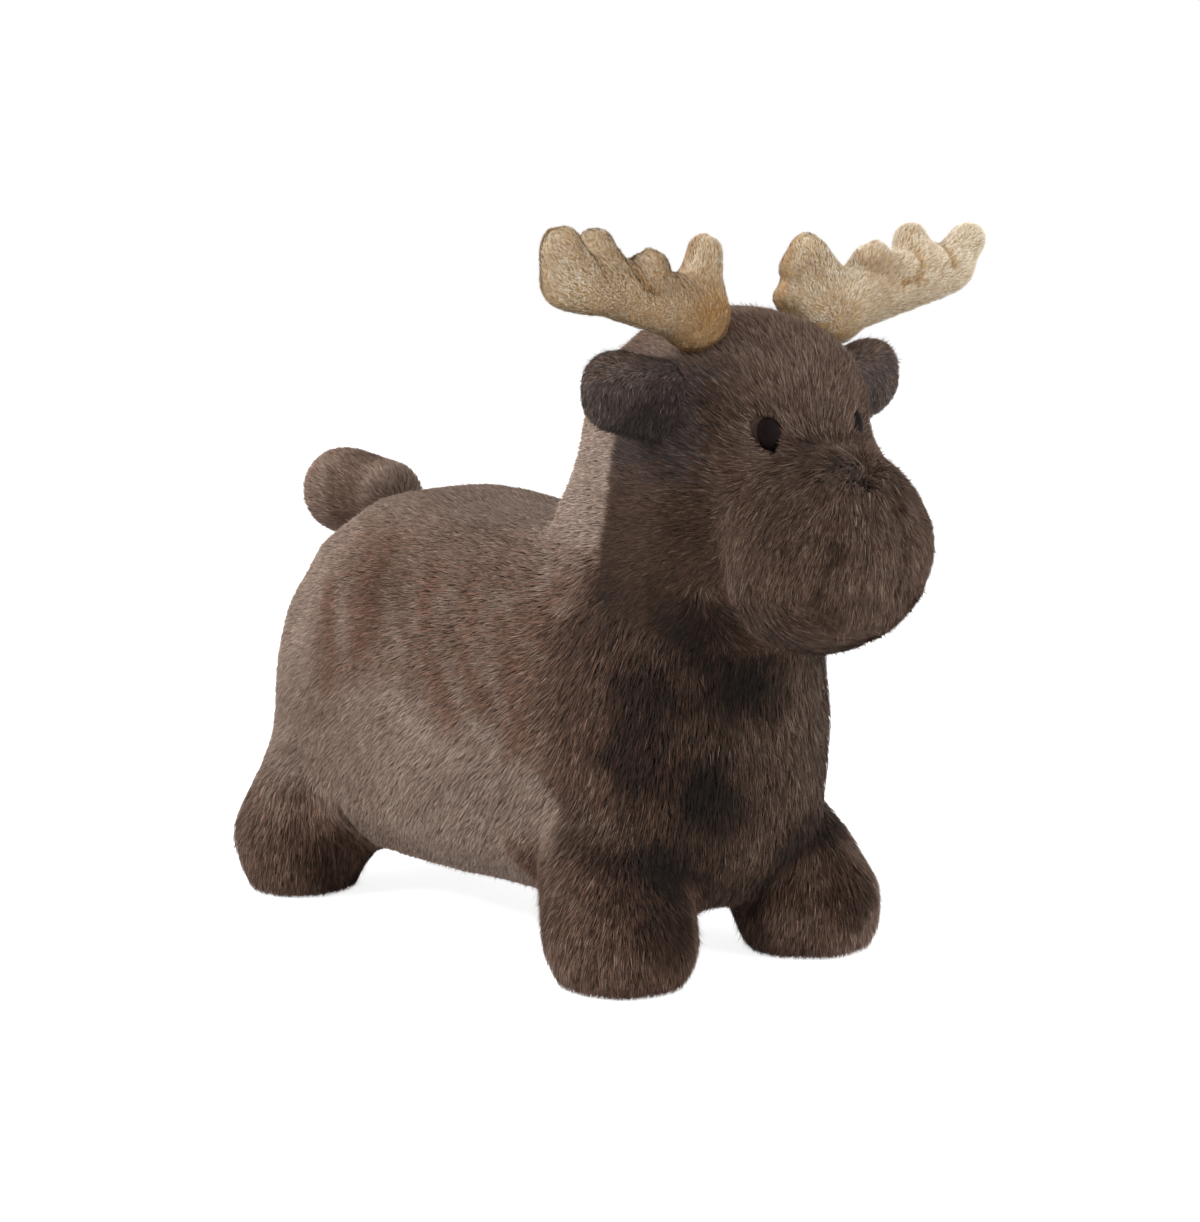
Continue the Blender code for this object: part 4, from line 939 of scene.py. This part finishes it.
# Antlers
# Two faces of short-pile tan plush over firm stuffing, sewn together along the rim. The cover is blown up
# as cloth that is held along its seam, so the faces bulge between the drawn-in seams, and the front face
# is tucked into folds at the tines. Stuffed by hand, the two differ a little.
ANTLER_ROOT = np.array([0.0526, -0.1769, 0.3915])
SIGHT_RIGHT = np.array([0.7815, -0.6239, 0.0])
NAP_LENGTH = 0.0032
NAP_WIDTH = 0.00038
NAP_STRANDS = 48000
RIM_SLANT = 0.070
PUFF_PRESSURE = 4.0
PUFF_LIMIT = 0.0035
PUFF_FRAMES = 20
FOLDS = (
    ((0.0560, 0.0400), (0.0555, 0.0260), (0.0490, 0.0160), (0.0390, 0.0140)),
    ((0.0830, 0.0440), (0.0790, 0.0340), (0.0780, 0.0240)),
)
# Where the tines lean from their pattern, as (across, up, radius, sideways, up) from the antler's root
LEANING = {
    "left": (
        (-0.0120, 0.0380, 0.024, -0.0035, -0.0005),
        (-0.0160, 0.0160, 0.018, -0.0080, 0.0000),
        (-0.0150, -0.0010, 0.018, -0.0090, 0.0000),
        (0.0334, 0.0300, 0.018, -0.0085, -0.0015),
        (0.0684, 0.0400, 0.016, -0.0020, 0.0000),
        (0.1050, 0.0180, 0.020, -0.0025, 0.0000),
    ),
    "right": (
        (-0.0120, 0.0360, 0.028, -0.0015, 0.0000),
        (0.0020, 0.0340, 0.012, 0.0025, 0.0000),
        (-0.0240, 0.0250, 0.016, -0.0020, 0.0000),
        (0.0334, 0.0300, 0.018, -0.0068, -0.0036),
        (0.0950, 0.0080, 0.026, 0.0000, -0.0030),
        (0.1080, 0.0150, 0.026, -0.0026, 0.0000),
        (0.1000, 0.0450, 0.020, 0.0000, 0.0020),
    ),
}

# Tan plush: short dense nap in dashes of light and dark, gold-brown at the root end and in the folds, which are also
# painted darker as shade
plush = pile_material(
    "velboa_plush",
    (
        ((0.0, "#513a22"), (0.25, "#8b6d4c"), (0.5, "#b39a7c"), (0.75, "#d2bfa3"), (1.0, "#f0e6d2")),
        ((0.0, "#472608"), (0.25, "#84551f"), (0.5, "#b0824b"), (0.75, "#cfae7d"), (1.0, "#ecd9b6")),
    ),
    # Darker towards the root: painted shade deep in the nap
    ((0.0, "#a4a4a4"), (0.5, "#e4e4e4"), (1.0, "#ffffff")),
    Roughness=0.75, Specular_IOR_Level=0.15, Sheen_Weight=0.08,
)

# Plush ground: the woven back that shows as a warmer shade between the tufts
ground = pile_ground(
    "plush_backing", 1200.0, 0.0003, ((0.0, "#3d2612"), (0.4, "#7d5a31"), (1.0, "#b3946a")),
    Roughness=0.9, Specular_IOR_Level=0.1,
)


def antler_places(points, sign):
    """Across, up and behind the rim seam from the antler's root, and the distance from the root."""
    across = points[:, 0] * sign - ANTLER_ROOT[0]
    up = points[:, 2] - ANTLER_ROOT[2]
    behind = points[:, 1] - (ANTLER_ROOT[1] - RIM_SLANT * across)
    return across, up, behind, np.sqrt(across ** 2 + up ** 2 + (points[:, 1] - ANTLER_ROOT[1]) ** 2)


def antler_marks(points, sign):
    """How near each point is to the rim seam and to the folds of the front face, from 0 to 1."""
    across, up, behind, reach = antler_places(points, sign)
    rim = ease(np.abs(behind), 0.0036, 0.0) * ease(reach, 0.018, 0.028)
    fold = sum(ease(from_line(across, up, line), 0.0045, 0.0) for line in FOLDS) * ease(behind, 0.0, -0.004)
    return rim, fold.clip(0.0, 1.0)


def puff(obj, held):
    """Blow a skin up as cloth that is held where the mask is true, and apply it with each move capped."""
    before = points_of(obj)
    group = obj.vertex_groups.new(name="held")
    group.add([int(index) for index in np.flatnonzero(held)], 1.0, "REPLACE")
    modifier = obj.modifiers.new("puff", "CLOTH")
    modifier.settings.quality = 5
    modifier.settings.use_pressure = True
    modifier.settings.uniform_pressure_force = PUFF_PRESSURE
    modifier.settings.vertex_group_mass = "held"
    modifier.settings.effector_weights.gravity = 0.0
    modifier.collision_settings.use_collision = False
    modifier.point_cache.frame_end = PUFF_FRAMES
    for moment in range(1, PUFF_FRAMES + 1):
        bpy.context.scene.frame_set(moment)
    apply_modifier(obj, "puff")
    bpy.context.scene.frame_set(1)
    obj.vertex_groups.clear()
    move = points_of(obj) - before
    far = np.linalg.norm(move, axis=1)[:, None]
    set_points(obj, before + move * np.minimum(1.0, PUFF_LIMIT / np.maximum(far, 1e-9)))


for index, (side, sign) in enumerate(SIDES):
    nodes = [f"antler_{layer}_{side}" for layer in ("front", "back", "filling")]
    antler = closed_skin("antler_backing_" + side, nodes, [], 0.0034)
    relax(antler, 3)
    points = points_of(antler)
    across, up, behind, reach = antler_places(points, sign)
    for at_across, at_up, radius, sideways, raised in LEANING[side]:
        near = ease(np.hypot(across - at_across, up - at_up) / radius, 1.2, 0.3)[:, None]
        points = points + near * (sideways * SIGHT_RIGHT + [0.0, 0.0, raised])
    set_points(antler, points)
    puff(antler, ((np.abs(behind) < 0.0022) & (reach > 0.020)) | (reach < 0.014))
    smooth = antler.modifiers.new("smooth", "SUBSURF")
    smooth.levels = 1
    smooth.render_levels = 1
    apply_modifier(antler, "smooth")
    rim, fold = antler_marks(points_of(antler), sign)
    sink(antler, 0.0008 * rim + 0.0024 * fold)
    relax(antler, 1)
    rng = np.random.default_rng(501 + index)
    skin = Skin(antler)
    roots, normals = skin.strew(NAP_STRANDS, np.ones(len(skin.area)), rng)
    across, up = antler_places(roots, sign)[:2]
    shown = (across > -0.012) | (up > -0.007)
    roots, normals = roots[shown], normals[shown]
    across, up, behind, reach = antler_places(roots, sign)
    rim, fold = antler_marks(roots, sign)
    deep = ease(up, 0.030, -0.004) * ease(across, 0.030, 0.004) * (0.4 + 0.6 * ease(across, -0.024, -0.006))
    deep = np.maximum(deep, 0.4 * ease(across, -0.016, -0.026)) * (0.1 if sign > 0 else 1.0)
    deep = np.maximum(deep, 0.7 * ease(behind, 0.0, 0.006) * ease(across, 0.02, -0.01))
    # Painted light over the far antler; painted shade in the valley between the inner and third tines and in the
    # folds
    tone = 0.68 - 0.20 * deep + 0.09 * ease(reach, 0.06, 0.10) + 0.11 * (sign > 0)
    tine_valley_shade = ease(np.hypot(across - 0.027, up - 0.021) / 0.014, 1.2, 0.5)
    tone = tone + 0.07 * rim - 0.16 * fold - (0.07 + 0.05 * (sign > 0)) * tine_valley_shade
    tone = tone + 0.10 * lumps(roots, 0.0028, 7) + 0.04 * lumps(roots, 0.011, 8)
    yarn = yarn_of((0.05 + 0.8 * deep + 0.5 * fold).clip(0, 1), 0 * tone, rng)
    flow = unit(roots - ANTLER_ROOT * [sign, 1.0, 1.0]) + [0.0, 0.0, 0.3]
    size = NAP_LENGTH * (1.0 - 0.3 * rim)
    pile = lay_strands(
        "nap_antler_" + side, roots, normals, flow, tone, yarn, size, 0 * tone, rng, NAP_WIDTH, (44.0, 22.0)
    )
    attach(pile, "antler_" + side)
    finish_pile(pile, plush, nodes[:2])
    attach(stuff(antler, 0.0012, "antler_stuffing_" + side, nodes[2:]), "antler_" + side)
    rim, fold = antler_marks(points_of(antler), sign)
    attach(antler, "antler_" + side)
    # The backing is darker along the rim seam, and painted darker in the folds as shade
    finish_skin(antler, "antler_backing_" + side, ground, nodes[:2], 0.9 - 0.2 * rim - 0.3 * fold)


# Eyes
# Moulded oval buttons, domed, very dark brown with a dull satin surface. A shank behind each one goes
# through the fabric into a white lock washer, and the pile stands round it so that it sits in a dimple.
EYE_PLACE = (0.0335, -0.2236, 0.3258)
EYE_FACING = (0.375, -0.924, 0.074)
EYE_SIZE = (0.0078, 0.0108, 0.0034)
EYE_DEPTH = 0.0042

# Moulded button: near-black brown with a worn, slightly uneven satin polish
button = mottled(
    "moulded_button", "#0f0808", "#160d0c", 260.0, 0.00004, Roughness=0.55, Specular_IOR_Level=0.05
)
# Washer plastic: natural white nylon
dress(
    mottled("washer_nylon", "#d8d4ca", "#ebe8df", 500.0, 0.00003, Roughness=0.5),
    "eye_washer_left", "eye_washer_right",
)

eye_up = Vector((math.sin(EYE_TILT), 0.0, math.cos(EYE_TILT)))
eye_facing = Vector(EYE_FACING).normalized()
eye_across = eye_up.cross(eye_facing).normalized()
eye_up = eye_facing.cross(eye_across).normalized()
eye_turn = Matrix((eye_across, eye_up, eye_facing)).transposed().to_4x4()
for side, sign in SIDES:
    bpy.ops.object.select_all(action="DESELECT")
    bpy.ops.mesh.primitive_uv_sphere_add(segments=48, ring_count=24, radius=1.0)
    eye = bpy.context.active_object
    bpy.ops.object.mode_set(mode="EDIT")
    bpy.ops.mesh.select_all(action="SELECT")
    bpy.ops.mesh.bisect(plane_co=(0, 0, -0.05), plane_no=(0, 0, 1), clear_inner=True, use_fill=True)
    bpy.ops.object.mode_set(mode="OBJECT")
    shape = Matrix.Translation((0.0, 0.0, -EYE_DEPTH)) @ Matrix.Diagonal((*EYE_SIZE, 1.0))
    place = Matrix.Translation(EYE_PLACE) @ eye_turn @ shape
    eye.data.transform(Matrix.Diagonal((sign, 1.0, 1.0, 1.0)) @ place)
    if sign < 0:
        eye.data.flip_normals()
    eye.name = "eye_button_" + side
    eye.data.name = eye.name
    eye.data.shade_smooth()
    eye.data.materials.append(button)
    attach(eye, "body")
    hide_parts("eye_" + side)


# Zip
# A dark coil zip along the belly lets the bladder out: woven tapes, moulded teeth, and a slider, a pull
# and two stops of plain metal.
# Zip tape: a dark woven ribbon, with its ribs 0.8 mm apart along the zip
tape, tape_shader = new_material("woven_tape", Roughness=0.85)
tape_place = add_node(tape, "ShaderNodeTexCoord").outputs["Object"]
tape_rib = add_node(
    tape, "ShaderNodeTexWave", [("Vector", tape_place)], bands_direction="Y", Scale=390.0, Distortion=1.5
)
tape_colour = add_node(
    tape, "ShaderNodeValToRGB", [(0, tape_rib.outputs["Fac"])], ((0.2, "#1d1714"), (0.8, "#372c26"))
)
tape_bump = add_node(
    tape, "ShaderNodeBump", [("Height", tape_rib.outputs["Fac"])], Strength=0.7, Distance=0.0002
)
tape.node_tree.links.new(tape_colour.outputs["Color"], tape_shader.inputs["Base Color"])
tape.node_tree.links.new(tape_bump.outputs["Normal"], tape_shader.inputs["Normal"])
dress(tape, "zip_tape_left", "zip_tape_right")
# Teeth plastic: black moulded polymer with a dull shine
dress(
    mottled("moulded_teeth", "#151211", "#221d1a", 700.0, 0.00002, Roughness=0.4),
    "zip_teeth_left", "zip_teeth_right",
)
# Zip metal: plated steel, brushed and a little dulled by handling
dress(
    mottled("plated_metal", "#7d766c", "#a39b8f", 900.0, 0.00002, Metallic=0.85, Roughness=0.36),
    "zip_slider", "zip_pull", "zip_stop_front", "zip_stop_rear",
)


# Stage
# A white floor that keeps a soft shadow, and a white world behind it. A key lamp stands high on the near
# side, and a larger, weaker one fills from ahead of the head. The camera has the photograph's angle.
FLOOR_GLOW = 0.86
SKY_LIGHT = 0.62
SENSOR_WIDTH = 36.0
FOCAL_PIXELS = 3093.0
FRAME_PIXELS = 1222.0
bpy.ops.object.select_all(action="DESELECT")
bpy.ops.mesh.primitive_plane_add(size=8.0, location=(0.0, 0.0, 0.0))
floor = bpy.context.active_object
floor.name = "floor"
paper, paper_shader = new_material("white_paper", Roughness=0.9, Specular_IOR_Level=0.0)
paper_shader.inputs["Base Color"].default_value = linear("#ececec")
seen = add_node(paper, "ShaderNodeLightPath")
glow = add_node(
    paper, "ShaderNodeMath", [(0, seen.outputs["Is Camera Ray"]), (1, FLOOR_GLOW)], operation="MULTIPLY"
)
paper_shader.inputs["Emission Color"].default_value = (1.0, 1.0, 1.0, 1.0)
paper.node_tree.links.new(glow.outputs[0], paper_shader.inputs["Emission Strength"])
floor.data.materials.append(paper)

world = bpy.data.worlds.new("studio")
bpy.context.scene.world = world
world.use_nodes = True
sky = world.node_tree.nodes["Background"]
sky.inputs["Color"].default_value = (1.0, 1.0, 1.0, 1.0)
path = add_node(world, "ShaderNodeLightPath")
level = add_node(
    world, "ShaderNodeMapRange", [("Value", path.outputs["Is Camera Ray"])], To_Min=SKY_LIGHT, To_Max=1.0
)
world.node_tree.links.new(level.outputs["Result"], sky.inputs["Strength"])


def lamp(name, place, size, power):
    light = bpy.data.lights.new(name, "AREA")
    light.shape = "SQUARE"
    light.size = size
    light.energy = power
    obj = bpy.data.objects.new(name, light)
    bpy.context.scene.collection.objects.link(obj)
    obj.location = place
    aim = Vector((0.0, 0.0, 0.2)) - Vector(place)
    obj.rotation_euler = aim.to_track_quat("-Z", "Y").to_euler()


lamp("key", (-1.9, 0.5, 1.9), 1.3, 92.0)
lamp("fill", (0.9, -2.4, 1.1), 1.8, 50.0)

# Camera: its focal length is in pixels of the frame, whose longer side the sensor's width spans
camera_data = bpy.data.cameras.new("camera")
camera_data.sensor_width = SENSOR_WIDTH
camera_data.lens = SENSOR_WIDTH * FOCAL_PIXELS / FRAME_PIXELS
camera = bpy.data.objects.new("camera", camera_data)
bpy.context.scene.collection.objects.link(camera)
back = Vector((-0.6174, -0.7734, 0.1437)).normalized()
right = Vector((0.7815, -0.6239, 0.0)).normalized()
up = back.cross(right)
camera.matrix_world = Matrix.Translation((-1.18140, -1.50621, 0.47679)) @ Matrix(
    (right, up, back)
).transposed().to_4x4()
bpy.context.scene.camera = camera
bpy.context.scene.view_settings.view_transform = "Standard"
